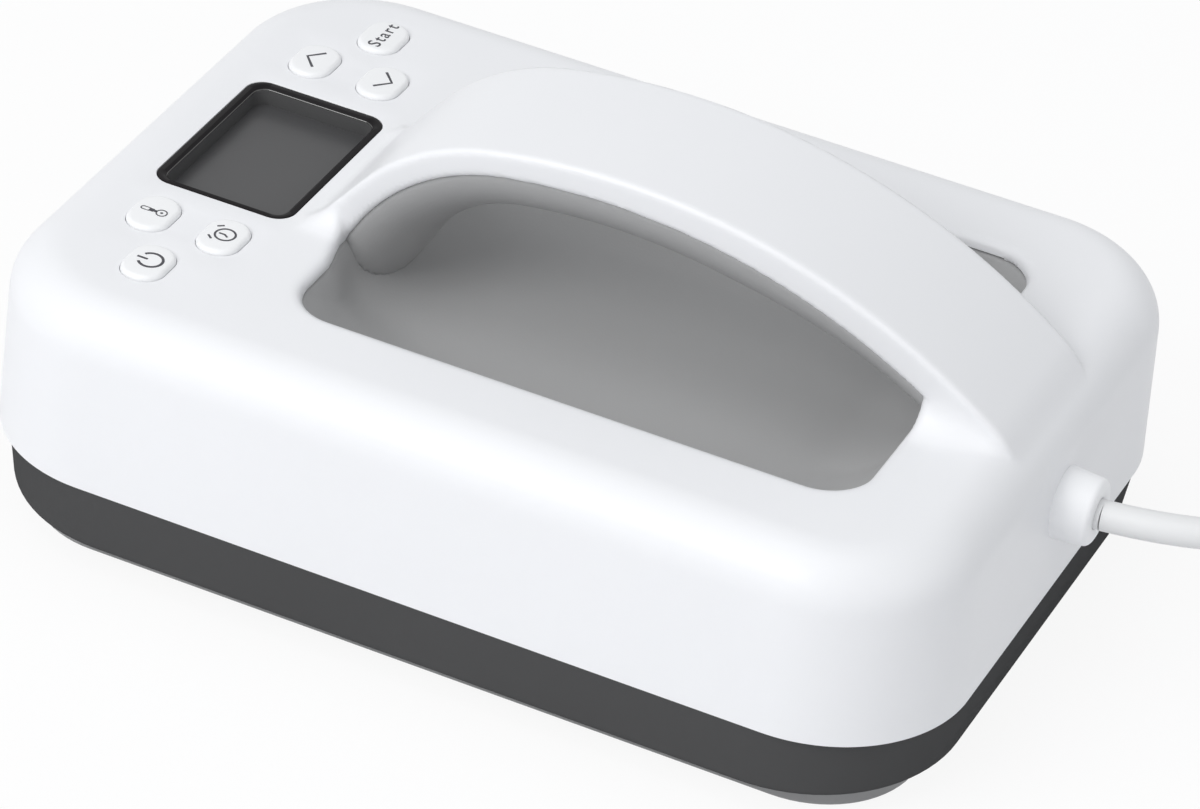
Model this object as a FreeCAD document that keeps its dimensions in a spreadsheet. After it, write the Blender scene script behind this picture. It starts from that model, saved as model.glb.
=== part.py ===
"""Mini handheld heat press, in millimetres.

The origin is the bottom centre of the heated sole. +X points to the end where the cord
leaves, +Z is up, and the controls are on the -X end of the top.
"""
import FreeCAD, Part
import math
import os
import re

import Sketcher

Vector = FreeCAD.Vector
UP = Vector(0, 0, 1)

doc = FreeCAD.newDocument("heat_press")
sheet = doc.addObject("Spreadsheet::Sheet", "Sizes")

SIZES = [
    ("body_length", 200.0, "moulded body along X at the seam"),
    ("body_width", 143.0, "moulded body along Y at the seam"),
    ("body_corner", 28.9, "corner radius of the body in plan"),
    ("seam_height", 19.6, "table to the seam between housing and base ring"),
    ("top_height", 57.8, "table to the flat top of the housing"),
    ("shell_wall", 2.5, "wall of the housing"),
    ("shell_draft", 2.0, "draft of the housing's sides, degrees"),
    ("top_round", 10.0, "radius of the housing's top edge"),
    ("base_bottom", 6.15, "table to the underside of the base ring"),
    ("base_setback", 0.3, "base ring set in from the housing at the seam"),
    ("base_lean", 1.9, "base ring's side leans in by this much"),
    ("base_wall", 2.5, "wall of the base ring"),
    ("base_round", 1.5, "lower outer edge of the base ring"),
    ("tongue_height", 3.0, "rim tongue that enters the housing"),
    ("tongue_gap", 0.15, "clearance between tongue and housing"),
    ("tongue_wall", 1.2, "thickness of the rim tongue"),
    ("plate_inset", 7.65, "heated plate in from the body's outline at the seam"),
    ("plate_corner", 20.6, "corner radius of the plate"),
    ("plate_depth", 9.0, "thickness of the cast plate"),
    ("plate_edge", 0.8, "round on the plate's lower edge"),
    ("plate_gap", 0.6, "gap between plate and base ring"),
    ("element_bore", 6.6, "outside diameter of the tubular element"),
    ("element_height", 4.9, "centre of the cast-in element above the sole"),
    ("element_leg", 50.0, "reach of the element's long legs towards -X"),
    ("element_turn", 12.5, "bend radius of the element"),
    ("element_tail", 54.0, "place along X where the cold tails rise"),
    ("element_cross", 74.0, "far leg that joins the element's halves, along X"),
    ("tail_turn", 8.0, "bend radius of the cold tails"),
    ("element_tail_top", 25.0, "top of the cold tails"),
    ("pad_depth", 3.0, "thickness of the insulation pad"),
    ("pad_inset", 8.0, "pad edge in from the plate edge"),
    ("shield_depth", 1.0, "thickness of the steel heat shield"),
    ("shield_seat", 2.6, "width of the shield's seat on the base ring"),
    ("spacer_bore", 9.0, "outside diameter of the plate spacers"),
    ("spacer_along", 62.0, "plate spacers from the centre along X"),
    ("spacer_across", 47.0, "plate spacers from the centre along Y"),
    ("ear_bore", 9.0, "diameter of the ring's screw ears"),
    ("ear_depth", 2.6, "thickness of the ring's screw ears"),
    ("ear_inset", 2.4, "ear centre in from the plate edge"),
    ("ear_along", 64.0, "screw ears from the centre along X"),
    ("hole_gap", 1.6, "clearance round the cold tails"),
    ("sensor_bore", 6.0, "diameter of the sensor on the plate"),
    ("plate_screw_grip", 5.0, "screw length in the plate"),
    ("post_screw_grip", 6.0, "screw length in a board post"),
    ("clamp_screw_grip", 5.0, "screw length in a clamp boss"),
    ("screw_bore", 3.0, "thread diameter of the machine screws"),
    ("screw_head", 5.6, "head diameter of the machine screws"),
    ("head_depth", 2.0, "head height of the machine screws"),
    ("well_centre", 15.8, "centre of the hand well along X"),
    ("well_length", 116.4, "hand well along X"),
    ("well_width", 90.8, "hand well along Y"),
    ("well_corner", 9.0, "corner radius of the hand well"),
    ("well_floor", 41.0, "table to the floor of the hand well"),
    ("well_lean", 9.0, "well's sides lean in by this much at the floor"),
    ("floor_corner", 22.0, "corner radius at the floor of the well"),
    ("well_round", 9.0, "radius between the well's sides and floor"),
    ("well_wall", 2.0, "wall of the well panel"),
    ("well_flange", 3.0, "width of the flange under the housing"),
    ("flange_depth", 1.5, "thickness of the flange under the housing"),
    ("rim_round", 2.0, "rounded rim of the housing round the well"),
    ("handle_width", 36.0, "width of the handle"),
    ("handle_crown_x", 7.0, "highest point of the handle along X"),
    ("handle_top", 88.3, "table to the top of the handle"),
    ("handle_crown", 137.0, "radius of the handle's long back"),
    ("handle_shoulder", 44.0, "radius of the handle's front shoulder"),
    ("handle_rise", 54.0, "slope of the handle's front root, degrees"),
    ("handle_root", 53.3, "front root from the origin, along -X"),
    ("handle_inset", 3.0, "back end of the handle in from the end of the body"),
    ("handle_foot", 2.8, "depth of the handle's back end inside the wall"),
    ("handle_edge", 1.5, "round on the handle's long edges"),
    ("side_crown_x", 11.0, "highest point of the handle's lower edge along X"),
    ("side_top", 83.2, "table to the handle's lower edge at its highest"),
    ("side_crown", 132.0, "radius of the long lower edge"),
    ("side_shoulder", 38.0, "radius of the lower edge at the front"),
    ("side_rise", 60.0, "slope of the lower edge at the front, degrees"),
    ("side_root", 43.8, "front root of the lower edge, along -X"),
    ("grip_belly", 12.5, "depth of the grip below the handle's lower edge"),
    ("frame_inset", 30.05, "display centre in from the end of the body"),
    ("frame_length", 29.7, "display frame along X"),
    ("frame_width", 43.4, "display frame along Y"),
    ("frame_corner", 4.0, "corner radius of the display frame"),
    ("frame_rim", 1.9, "visible rim of the display frame"),
    ("frame_lip", 1.6, "lip of the frame under the housing"),
    ("window_sink", 4.0, "window below the top of the housing"),
    ("window_lap", 0.7, "window laps under the frame"),
    ("window_depth", 1.2, "thickness of the display window"),
    ("outer_inset", 22.9, "outer buttons in from the sides of the body"),
    ("inner_inset", 38.4, "inner buttons in from the sides of the body"),
    ("outer_shift", 0.45, "outer buttons from the display's centre towards -X"),
    ("front_row", 7.95, "front buttons from the display's centre towards -X"),
    ("back_row", 7.15, "back buttons from the display's centre towards +X"),
    ("button_length", 10.4, "button along X"),
    ("button_width", 12.0, "button along Y"),
    ("button_corner", 5.0, "corner radius of a button"),
    ("button_proud", 1.0, "button above the housing"),
    ("button_gap", 0.25, "gap round a button"),
    ("button_edge", 0.7, "round on a button's top edge"),
    ("button_lip", 1.0, "retaining lip round a button"),
    ("button_travel", 0.6, "travel of a button"),
    ("lip_gap", 0.1, "gap over a button's lip"),
    ("stem_bore", 4.0, "stem under a button"),
    ("board_top", 48.0, "table to the top of the control board"),
    ("board_depth", 1.6, "thickness of the circuit boards"),
    ("board_inset", 12.0, "control board in from the end of the body"),
    ("board_length", 36.0, "control board along X"),
    ("board_side", 14.5, "control board in from the sides of the body"),
    ("switch_side", 6.0, "side of a switch housing"),
    ("switch_depth", 3.5, "height of a switch housing"),
    ("plunger_bore", 3.2, "diameter of a switch plunger"),
    ("plunger_rise", 1.0, "plunger above the switch housing"),
    ("plunger_seat", 1.5, "plunger inside its switch"),
    ("plunger_gap", 0.05, "running clearance round a plunger"),
    ("post_bore", 6.0, "diameter of the board posts"),
    ("post_inset", 4.5, "board posts in from the control board's edges"),
    ("clamp_inset", 9.0, "front of the clamp bosses in from the end of the body"),
    ("clamp_depth", 3.0, "thickness of the clamp"),
    ("sounder_bore", 12.0, "diameter of the sounder"),
    ("sounder_depth", 6.0, "height of the sounder"),
    ("clamp_hole", 11.5, "clamp bosses from the cord's axis"),
    ("boss_bore", 7.0, "diameter of the clamp bosses"),
    ("pillar_height", 7.0, "pillars between heat shield and power board"),
    ("power_length", 76.0, "power board along X"),
    ("power_width", 54.0, "power board along Y"),
    ("power_centre_x", 4.0, "centre of the power board along X"),
    ("power_centre_y", 20.0, "power board set towards +Y"),
    ("board_corner", 2.0, "corner radius of the circuit boards"),
    ("relay_length", 19.0, "relay along X"),
    ("relay_width", 15.5, "relay along Y"),
    ("relay_depth", 15.0, "height of the relay"),
    ("core_length", 22.0, "transformer's core along X"),
    ("core_width", 9.0, "transformer's core along Y"),
    ("core_depth", 14.0, "height of the transformer's core"),
    ("bobbin_length", 14.0, "transformer's bobbin along X"),
    ("bobbin_width", 19.0, "transformer's bobbin along Y"),
    ("bobbin_depth", 11.0, "height of the transformer's bobbin"),
    ("core_gap", 1.5, "space between relay and transformer"),
    ("capacitor_length", 18.0, "capacitor along X"),
    ("capacitor_width", 7.0, "capacitor along Y"),
    ("capacitor_depth", 12.0, "height of the capacitor"),
    ("terminal_length", 8.0, "terminal block along X"),
    ("terminal_pitch", 7.0, "distance between the terminals"),
    ("terminal_depth", 10.0, "height of the terminal block"),
    ("terminal_bore", 3.4, "head of a terminal's screw"),
    ("terminal_proud", 0.4, "terminal's screw above its block"),
    ("terminal_inset", 8.0, "terminals' centre in from the board's edge"),
    ("fuse_length", 20.0, "line fuse along X"),
    ("fuse_side", 5.6, "end caps of the line fuse"),
    ("fuse_waist", 12.0, "glass of the line fuse between its caps"),
    ("fuse_bore", 5.0, "diameter of the line fuse's glass"),
    ("thermal_bore", 4.0, "diameter of the thermal fuse"),
    ("thermal_length", 12.0, "length of the thermal fuse"),
    ("thermal_place", 52.0, "thermal fuse's centre along -X"),
    ("thermal_clip", 6.0, "side of the clip under the thermal fuse"),
    ("row_near", 12.0, "row of large parts from the power board's centre line"),
    ("row_far", 16.0, "row of small parts from the power board's centre line"),
    ("wire_bore", 1.8, "diameter of the inner wires"),
    ("ribbon_width", 12.0, "width of the ribbon cable"),
    ("ribbon_depth", 0.9, "thickness of the ribbon cable"),
    ("cord_bore", 6.0, "diameter of the cord"),
    ("gland_height", 38.6, "table to the cord outlet's axis"),
    ("seat_inset", 1.1, "spot face for the cord collar in from the end of the body"),
    ("collar_wide", 16.0, "diameter of the collar at the housing"),
    ("collar_narrow", 14.4, "diameter of the collar at its outer end"),
    ("collar_length", 8.6, "length of the collar outside its spot face"),
    ("collar_round", 1.4, "round on the collar's outer edge"),
    ("neck_bore", 10.0, "collar's neck through the wall"),
    ("coil_pitch", 6.6, "distance between neighbouring turns and layers"),
    ("coil_middle", 36.0, "radius at the middle of the turns"),
    ("coil_turns", 7.0, "number of turns"),
    ("coil_rest", 3.8, "height of the lower layer's centre line"),
    ("tie_wall", 0.7, "thickness of the cord tie"),
    ("tie_width", 9.0, "width of the cord tie"),
    ("tie_slack", 0.8, "cord tie clear of the turns beside it"),
    ("tie_room", 0.2, "cord tie clear of the turns below it"),
    ("plug_width", 27.0, "plug across its blades"),
    ("plug_depth", 18.0, "thickness of the plug"),
    ("plug_length", 26.0, "plug head without its relief"),
    ("relief_length", 30.0, "tapered relief on the plug"),
    ("plug_corner", 3.0, "rounded edges of the plug"),
    ("relief_start", 4.0, "radius of the relief where the cord enters"),
    ("relief_overlap", 4.0, "relief runs on inside the plug head"),
    ("blade_length", 17.5, "blades beyond the plug's face"),
    ("blade_depth", 6.3, "width of a flat blade"),
    ("blade_thick", 1.5, "thickness of a flat blade"),
    ("blade_across", 12.7, "distance between the flat blades"),
    ("blade_rise", 2.5, "flat blades above the plug's axis"),
    ("pin_bore", 4.8, "diameter of the earth pin"),
    ("pin_drop", 5.0, "earth pin below the plug's axis"),
    ("pin_extra", 3.0, "earth pin longer than the blades"),
]

for row, (alias, number, note) in enumerate(SIZES, start=1):
    sheet.set("A%d" % row, note)
    sheet.set("B%d" % row, "%g" % number)
    sheet.setAlias("B%d" % row, alias)
doc.recompute()

ALIASES = {alias for alias, number, note in SIZES}


def number(words):
    """Number of a sum whose terms are names or plain numbers, such as "body_length/2 - 2*shell_wall"."""
    total = 0.0
    term = r"([+-]?)\s*(?:([\d.]+)\s*\*\s*)?([a-z_]+|[\d.]+)(?:\s*/\s*([\d.]+))?"
    for sign, factor, name, share in re.findall(term, str(words)):
        amount = float(sheet.get(name)) if name in ALIASES else float(name)
        amount *= float(factor or 1) / float(share or 1)
        total += -amount if sign == "-" else amount
    return total


subparts = []


def formula(words):
    """The same formula with each size's name led by the sheet's."""
    return re.sub(r"[a-z][a-z_]+", lambda m: "Sizes." + m[0] if m[0] in ALIASES else m[0], words)


def bind(thing, place, words):
    """Bind one property or constraint to a formula in the sheet's names."""
    thing.setExpression(place, formula(str(words)))


def new_body(label):
    """Empty body, listed as a sub-part under its label."""
    body = doc.addObject("PartDesign::Body", label)
    body.Label = label
    subparts.append(body)
    return body


def new_sketch(body, role="XY_Plane", offset="0"):
    """Sketch on one of the body's own origin planes, moved along the plane's normal."""
    sketch = body.newObject("Sketcher::SketchObject", body.Label + "_sketch")
    plane = next(item for item in body.Origin.OriginFeatures if item.Role == role)
    sketch.AttachmentSupport = [(plane, "")]
    sketch.MapMode = "FlatFace"
    bind(sketch, "AttachmentOffset.Base.z", offset)
    return sketch


def dimension(sketch, constraint, words):
    """Add a constraint whose value is bound to a formula."""
    index = sketch.addConstraint(constraint)
    sketch.renameConstraint(index, "size_%d" % index)
    bind(sketch, "Constraints.size_%d" % index, words)


def draw_rectangle(sketch, length, width, corner, x="0", y="0"):
    """Rounded rectangle with its centre at x, y; every size is a formula."""
    half_x, half_y, radius = 30.0, 20.0, 5.0
    first = sketch.GeometryCount
    corners = [(1, 1, 0), (-1, 1, 90), (-1, -1, 180), (1, -1, 270)]
    for side_x, side_y, start in corners:
        centre = Vector(side_x * (half_x - radius), side_y * (half_y - radius), 0)
        circle = Part.Circle(centre, UP, radius)
        angle = math.radians(start)
        sketch.addGeometry(Part.ArcOfCircle(circle, angle, angle + math.pi / 2), False)
    ends = [
        (Vector(half_x - radius, half_y, 0), Vector(radius - half_x, half_y, 0)),
        (Vector(-half_x, half_y - radius, 0), Vector(-half_x, radius - half_y, 0)),
        (Vector(radius - half_x, -half_y, 0), Vector(half_x - radius, -half_y, 0)),
        (Vector(half_x, radius - half_y, 0), Vector(half_x, half_y - radius, 0)),
    ]
    for start, end in ends:
        sketch.addGeometry(Part.LineSegment(start, end), False)
    for index in range(4):
        arc, line, following = first + index, first + 4 + index, first + (index + 1) % 4
        sketch.addConstraint(Sketcher.Constraint("Tangent", arc, 2, line, 1))
        sketch.addConstraint(Sketcher.Constraint("Tangent", line, 2, following, 1))
        direction = "Horizontal" if index % 2 == 0 else "Vertical"
        sketch.addConstraint(Sketcher.Constraint(direction, line))
    for index in range(1, 4):
        sketch.addConstraint(Sketcher.Constraint("Equal", first, first + index))
    top, left, bottom, right = first + 4, first + 5, first + 6, first + 7
    dimension(sketch, Sketcher.Constraint("Radius", first, radius), corner)
    dimension(sketch, Sketcher.Constraint("DistanceX", left, 1, right, 1, 2 * half_x), length)
    dimension(sketch, Sketcher.Constraint("DistanceY", bottom, 1, top, 1, 2 * half_y), width)
    dimension(sketch, Sketcher.Constraint("DistanceX", -1, 1, right, 1, half_x), f"{x} + ({length})/2")
    dimension(sketch, Sketcher.Constraint("DistanceY", -1, 1, top, 1, half_y), f"{y} + ({width})/2")


def draw_circle(sketch, bore, x="0", y="0"):
    """Circle of a bore's diameter with its centre at x, y."""
    index = sketch.addGeometry(Part.Circle(Vector(1, 1, 0), UP, 2.0), False)
    dimension(sketch, Sketcher.Constraint("Diameter", index, 4.0), bore)
    dimension(sketch, Sketcher.Constraint("DistanceX", -1, 1, index, 3, 1.0), x)
    dimension(sketch, Sketcher.Constraint("DistanceY", -1, 1, index, 3, 1.0), y)


def grow(body, sketch, depth, lean="0", both=False, back=False):
    """Pad a sketch by a depth, with a lean where its sides are drafted."""
    pad = body.newObject("PartDesign::Pad", body.Label + "_pad")
    pad.Profile = sketch
    pad.SideType = "Symmetric" if both else "One side"
    pad.Reversed = back
    bind(pad, "Length", depth)
    bind(pad, "TaperAngle", lean)
    doc.recompute()
    return pad


def sink(body, sketch, depth, lean="0", both=False, back=False):
    """Pocket a sketch by a depth, and make sure that it removes material."""
    before = body.Shape.Volume
    pocket = body.newObject("PartDesign::Pocket", body.Label + "_pocket")
    pocket.Profile = sketch
    pocket.SideType = "Symmetric" if both else "One side"
    pocket.Reversed = back
    bind(pocket, "Length", depth)
    bind(pocket, "TaperAngle", lean)
    doc.recompute()
    if not pocket.Shape.Volume < before:
        raise RuntimeError(body.Label + ": a pocket removes nothing")
    return pocket


def soften(body, chosen, radius):
    """Fillet the edges of the body's last feature that a test chooses."""
    last = body.Tip
    names = ["Edge%d" % (index + 1) for index, edge in enumerate(last.Shape.Edges) if chosen(edge)]
    if not names:
        raise RuntimeError(body.Label + ": no edge to round")
    fillet = body.newObject("PartDesign::Fillet", body.Label + "_round")
    fillet.Base = (last, names)
    bind(fillet, "Radius", radius)
    doc.recompute()
    return fillet


def at_height(height):
    """Test for edges that lie flat at one height."""
    def chosen(edge):
        box = edge.BoundBox
        return abs(box.ZMin - height) < 0.01 and abs(box.ZMax - height) < 0.01
    return chosen


def draw_arch(sketch, crown_x, top, crown, shoulder, rise, root_x, root_z, end_x):
    """Front line, shoulder arc and long crown arc, each tangent to the next; returns the line."""
    slope = math.radians(number(rise))
    big, small = number(crown), number(shoulder)
    centre = Vector(number(crown_x), number(top) - big, 0)
    along = Vector(math.cos(slope), math.sin(slope), 0)
    outward = Vector(-along.y, along.x, 0)
    root = Vector(number(root_x), number(root_z), 0)
    level = outward.dot(root) - small - outward.dot(centre)
    shift = math.sqrt((big - small) ** 2 - level ** 2)
    hub = centre + outward * level + along * shift
    foot = hub + outward * small
    knee = centre + (hub - centre) * (big / (big - small))
    run = number(end_x) - centre.x
    end = Vector(number(end_x), centre.y + math.sqrt(big ** 2 - run ** 2), 0)
    line = sketch.addGeometry(Part.LineSegment(root, foot), False)
    for middle, radius, start, stop in [(hub, small, knee, foot), (centre, big, end, knee)]:
        angles = [math.atan2(point.y - middle.y, point.x - middle.x) for point in (start, stop)]
        sketch.addGeometry(Part.ArcOfCircle(Part.Circle(middle, UP, radius), *angles), False)
    front, back = line + 1, line + 2
    sketch.addConstraint(Sketcher.Constraint("Tangent", line, 2, front, 2))
    sketch.addConstraint(Sketcher.Constraint("Tangent", front, 1, back, 2))
    dimension(sketch, Sketcher.Constraint("Radius", front, small), shoulder)
    dimension(sketch, Sketcher.Constraint("Radius", back, big), crown)
    dimension(sketch, Sketcher.Constraint("Angle", line, slope), rise)
    place(sketch, back, 3, crown_x, f"{top} - ({crown})")
    place(sketch, line, 1, root_x, root_z)
    dimension(sketch, Sketcher.Constraint("DistanceX", -1, 1, back, 1, end.x), end_x)
    return line


def place(sketch, line, point, x, y):
    """Tie one point of the sketch to x, y, which are formulas."""
    spot = sketch.getPoint(line, point)
    dimension(sketch, Sketcher.Constraint("DistanceX", -1, 1, line, point, spot.x), x)
    dimension(sketch, Sketcher.Constraint("DistanceY", -1, 1, line, point, spot.y), y)


def draw_lines(sketch, start, corners, stop):
    """Straight lines from one end in the sketch through the corners to another end."""
    spots = [Vector(number(x), number(y), 0) for x, y in corners]
    stops = [sketch.getPoint(*start)] + spots + [sketch.getPoint(*stop)]
    previous = start
    for index, (tail, head) in enumerate(zip(stops, stops[1:])):
        line = sketch.addGeometry(Part.LineSegment(tail, head), False)
        sketch.addConstraint(Sketcher.Constraint("Coincident", *previous, line, 1))
        if index < len(corners):
            place(sketch, line, 2, *corners[index])
        previous = (line, 2)
    sketch.addConstraint(Sketcher.Constraint("Coincident", *previous, *stop))


def draw_outline(sketch, corners):
    """Closed outline of straight lines through the corners, each a pair of formulas."""
    spots = [Vector(number(x), number(y), 0) for x, y in corners]
    lines = []
    for tail, head in zip(spots, spots[1:] + spots[:1]):
        lines.append(sketch.addGeometry(Part.LineSegment(tail, head), False))
    for line, following, corner in zip(lines, lines[1:] + lines[:1], corners[1:] + corners[:1]):
        sketch.addConstraint(Sketcher.Constraint("Coincident", line, 2, following, 1))
        place(sketch, following, 1, *corner)


ROOF = "top_height - shell_wall"
DISPLAY = "-body_length/2 + frame_inset"
BOARD_FRONT = "-body_length/2 + board_inset"
HANDLE_END = "body_length/2 - handle_inset"
SEAT = "body_length/2 - seat_inset"
COLLAR_END = "body_length/2 - seat_inset + collar_length"
CLAMP = "body_length/2 - clamp_inset"
WELL_BACK = "well_centre + well_length/2"
SIDES = (-1, 1)


def join(kind, label, first, second, listed=False):
    """Boolean of two objects; listed ones become sub-parts."""
    result = doc.addObject("Part::" + kind, label)
    result.Label = label
    result.Base = first
    result.Tool = second
    doc.recompute()
    if listed:
        subparts.append(result)
    return result


def handle_skin():
    """Outside of the handle: the arch between its back and its lower edge."""
    body = doc.addObject("PartDesign::Body", "handle_skin")
    sketch = new_sketch(body, "XZ_Plane")
    outer = draw_arch(
        sketch, "handle_crown_x", "handle_top", "handle_crown", "handle_shoulder", "handle_rise",
        "-handle_root", ROOF, HANDLE_END)
    inner = draw_arch(
        sketch, "side_crown_x", "side_top", "side_crown", "side_shoulder", "side_rise",
        "-side_root", ROOF, WELL_BACK)
    draw_lines(sketch, (outer, 1), [], (inner, 1))
    foot = ROOF + " - handle_foot"
    toe = HANDLE_END + " - 2*handle_foot"
    draw_lines(sketch, (outer + 2, 1), [
        (HANDLE_END, foot), (toe, foot), (toe, ROOF), (WELL_BACK, ROOF)], (inner + 2, 1))
    grow(body, sketch, "handle_width", both=True)
    half = number("handle_width/2")

    def back_edge(edge):
        """Long edges of the handle's back: those whose middle lies on its outer curve."""
        middle = edge.valueAt((edge.FirstParameter + edge.LastParameter) / 2)
        if abs(abs(middle.y) - half) > 0.01 or edge.BoundBox.XLength < 4:
            return False
        return middle.z > lower_edge_height(middle.x) + 2

    soften(body, back_edge, "handle_edge")
    return body


def lower_edge_height(x):
    """Height of the handle's lower edge over x, on its long arc."""
    run = x - number("side_crown_x")
    crown = number("side_crown")
    return number("side_top") - crown + math.sqrt(max(crown ** 2 - run ** 2, 0))


def handle_channel():
    """Hollow of the handle, open below, one wall in from its back and sides."""
    body = doc.addObject("PartDesign::Body", "handle_channel")
    sketch = new_sketch(body, "XZ_Plane")
    lead = "shell_wall"
    outer = draw_arch(
        sketch, "handle_crown_x", "handle_top - shell_wall", "handle_crown - shell_wall",
        "handle_shoulder - shell_wall", "handle_rise", f"-handle_root + {lead}", ROOF,
        HANDLE_END + " - shell_wall - 1")
    below = ROOF + " - 2*handle_foot"
    draw_lines(sketch, (outer, 1), [
        (f"-handle_root + {lead}", below), (HANDLE_END + " - shell_wall - 1", below)], (outer + 2, 1))
    grow(body, sketch, "handle_width - 2*shell_wall", both=True)
    return body


BUTTONS = [
    ("power", DISPLAY + " - outer_shift", "-body_width/2 + outer_inset"),
    ("temperature", DISPLAY + " - front_row", "-body_width/2 + inner_inset"),
    ("timer", DISPLAY + " + back_row", "-body_width/2 + inner_inset"),
    ("up", DISPLAY + " - front_row", "body_width/2 - inner_inset"),
    ("down", DISPLAY + " + back_row", "body_width/2 - inner_inset"),
    ("start", DISPLAY + " - outer_shift", "body_width/2 - outer_inset"),
]
POSTS = [(x, f"{side}*body_width/2 - {side}*board_side - {side}*post_inset")
         for x in (BOARD_FRONT + " + post_inset", BOARD_FRONT + " + board_length - post_inset")
         for side in SIDES]


def housing():
    """Drafted cover with its openings, board posts and clamp bosses, without the handle."""
    body = doc.addObject("PartDesign::Body", "housing")
    outside = new_sketch(body, offset="seam_height")
    draw_rectangle(outside, "body_length", "body_width", "body_corner")
    grow(body, outside, "top_height - seam_height", "-shell_draft")
    inside = new_sketch(body, offset="seam_height")
    draw_rectangle(inside, "body_length - 2*shell_wall", "body_width - 2*shell_wall",
                   "body_corner - shell_wall")
    sink(body, inside, ROOF + " - seam_height", "-shell_draft", back=True)
    soften(body, at_height(number(ROOF)), "top_round - shell_wall")
    soften(body, at_height(number("top_height")), "top_round")
    opening = new_sketch(body, offset="top_height")
    draw_rectangle(opening, "well_length", "well_width", "well_corner", x="well_centre")
    sink(body, opening, "2*shell_wall")
    soften(body, well_edge, "rim_round")
    posts = new_sketch(body, offset=ROOF + " + 1")
    for x, y in POSTS:
        draw_circle(posts, "post_bore", x, y)
    grow(body, posts, "top_height - shell_wall + 1 - board_top", back=True)
    pilots = new_sketch(body, offset="board_top")
    for x, y in POSTS:
        draw_circle(pilots, "screw_bore", x, y)
    sink(body, pilots, "post_screw_grip", back=True)
    bosses = new_sketch(body, "YZ_Plane", CLAMP)
    for side in SIDES:
        draw_circle(bosses, "boss_bore", f"{side}*clamp_hole", "gland_height")
    grow(body, bosses, "clamp_inset - seat_inset - 1")
    pilots = new_sketch(body, "YZ_Plane", CLAMP)
    for side in SIDES:
        draw_circle(pilots, "screw_bore", f"{side}*clamp_hole", "gland_height")
    sink(body, pilots, "clamp_screw_grip", back=True)
    holes = new_sketch(body, offset="top_height")
    draw_rectangle(holes, "frame_length", "frame_width", "frame_corner", x=DISPLAY)
    for name, x, y in BUTTONS:
        draw_rectangle(holes, "button_length + 2*button_gap", "button_width + 2*button_gap",
                       "button_corner + button_gap", x, y)
    sink(body, holes, "shell_wall")
    spot = new_sketch(body, "YZ_Plane", SEAT)
    draw_circle(spot, "collar_wide", "0", "gland_height")
    sink(body, spot, "collar_wide", back=True)
    neck = new_sketch(body, "YZ_Plane", SEAT + " + 2")
    draw_circle(neck, "neck_bore", "0", "gland_height")
    sink(body, neck, "3*shell_wall")
    return body


def well_edge(edge):
    """Upper edges of the hand well's opening."""
    box = edge.BoundBox
    flat = abs(box.ZMin - number("top_height")) < 0.01 and box.ZLength < 0.01
    middle = box.Center
    return flat and (abs(middle.x - number("well_centre")) < number("well_length/2") + 1
                     and abs(middle.y) < number("well_width/2") + 1)


def top_shell():
    """White housing moulded in one with its arched handle."""
    whole = join("Fuse", "housing_and_handle", housing(), handle_skin())
    return join("Cut", "top_shell", whole, handle_channel(), listed=True)


def well_panel():
    """Grey dish of the hand well, with the flange that holds it under the housing."""
    body = new_body("well_panel")
    flange = new_sketch(body, offset=ROOF)
    draw_rectangle(flange, "well_length + 2*well_flange", "well_width + 2*well_flange",
                   "well_corner + well_flange", x="well_centre")
    grow(body, flange, "flange_depth", back=True)
    well_form(body, "well_wall", "PartDesign::AdditiveLoft")
    well_form(body, "0", "PartDesign::SubtractiveLoft")
    return body


def well_form(body, wall, kind):
    """Drafted dish between the rim and the floor, grown by a wall, its floor edge rounded."""
    rim = new_sketch(body, offset=ROOF)
    draw_rectangle(rim, f"well_length + 2*{wall}", f"well_width + 2*{wall}",
                   f"well_corner + {wall}", x="well_centre")
    floor = new_sketch(body, offset=f"well_floor - {wall}")
    draw_rectangle(floor, f"well_length - 2*well_lean + 2*{wall}",
                   f"well_width - 2*well_lean + 2*{wall}",
                   f"floor_corner + {wall}", x="well_centre")
    loft = body.newObject(kind, body.Label + "_loft")
    loft.Profile = rim
    loft.Sections = [floor]
    loft.Ruled = True
    doc.recompute()
    soften(body, at_height(number(f"well_floor - {wall}")), f"well_round + {wall}")


def well_space():
    """Solid of the space in and over the hand well, as a tool for the grip."""
    body = doc.addObject("PartDesign::Body", "well_space")
    well_form(body, "0", "PartDesign::AdditiveLoft")
    over = new_sketch(body, offset=ROOF)
    draw_rectangle(over, "well_length", "well_width", "well_corner", x="well_centre")
    grow(body, over, "handle_top - top_height + shell_wall")
    return body


def arch_spine():
    """Wire along the handle's lower edge, run on below the floor of the well at both ends."""
    rise = math.radians(number("side_rise"))
    crown, shoulder = number("side_crown"), number("side_shoulder")
    centre = Vector(number("side_crown_x"), 0, number("side_top") - crown)
    along = Vector(math.cos(rise), 0, math.sin(rise))
    outward = Vector(-along.z, 0, along.x)
    root = Vector(-number("side_root"), 0, number(ROOF))
    level = outward.dot(root - centre) - shoulder
    hub = centre + outward * level + along * math.sqrt((crown - shoulder) ** 2 - level ** 2)
    foot = hub + outward * shoulder
    knee = centre + (hub - centre) * (crown / (crown - shoulder))
    low = root - along * ((root.z - number("well_floor")) / along.z + number("well_round"))
    run = number(WELL_BACK) + number("grip_belly") - centre.x
    end = Vector(centre.x + run, 0, centre.z + math.sqrt(crown ** 2 - run ** 2))

    def through(middle, radius, start, stop):
        way = start - middle + stop - middle
        return middle + way.normalize() * radius

    arcs = [Part.Arc(foot, through(hub, shoulder, foot, knee), knee),
            Part.Arc(knee, through(centre, crown, knee, end), end)]
    edges = [Part.LineSegment(low, foot).toShape()] + [arc.toShape() for arc in arcs]
    return Part.Wire(edges), low, along


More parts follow.
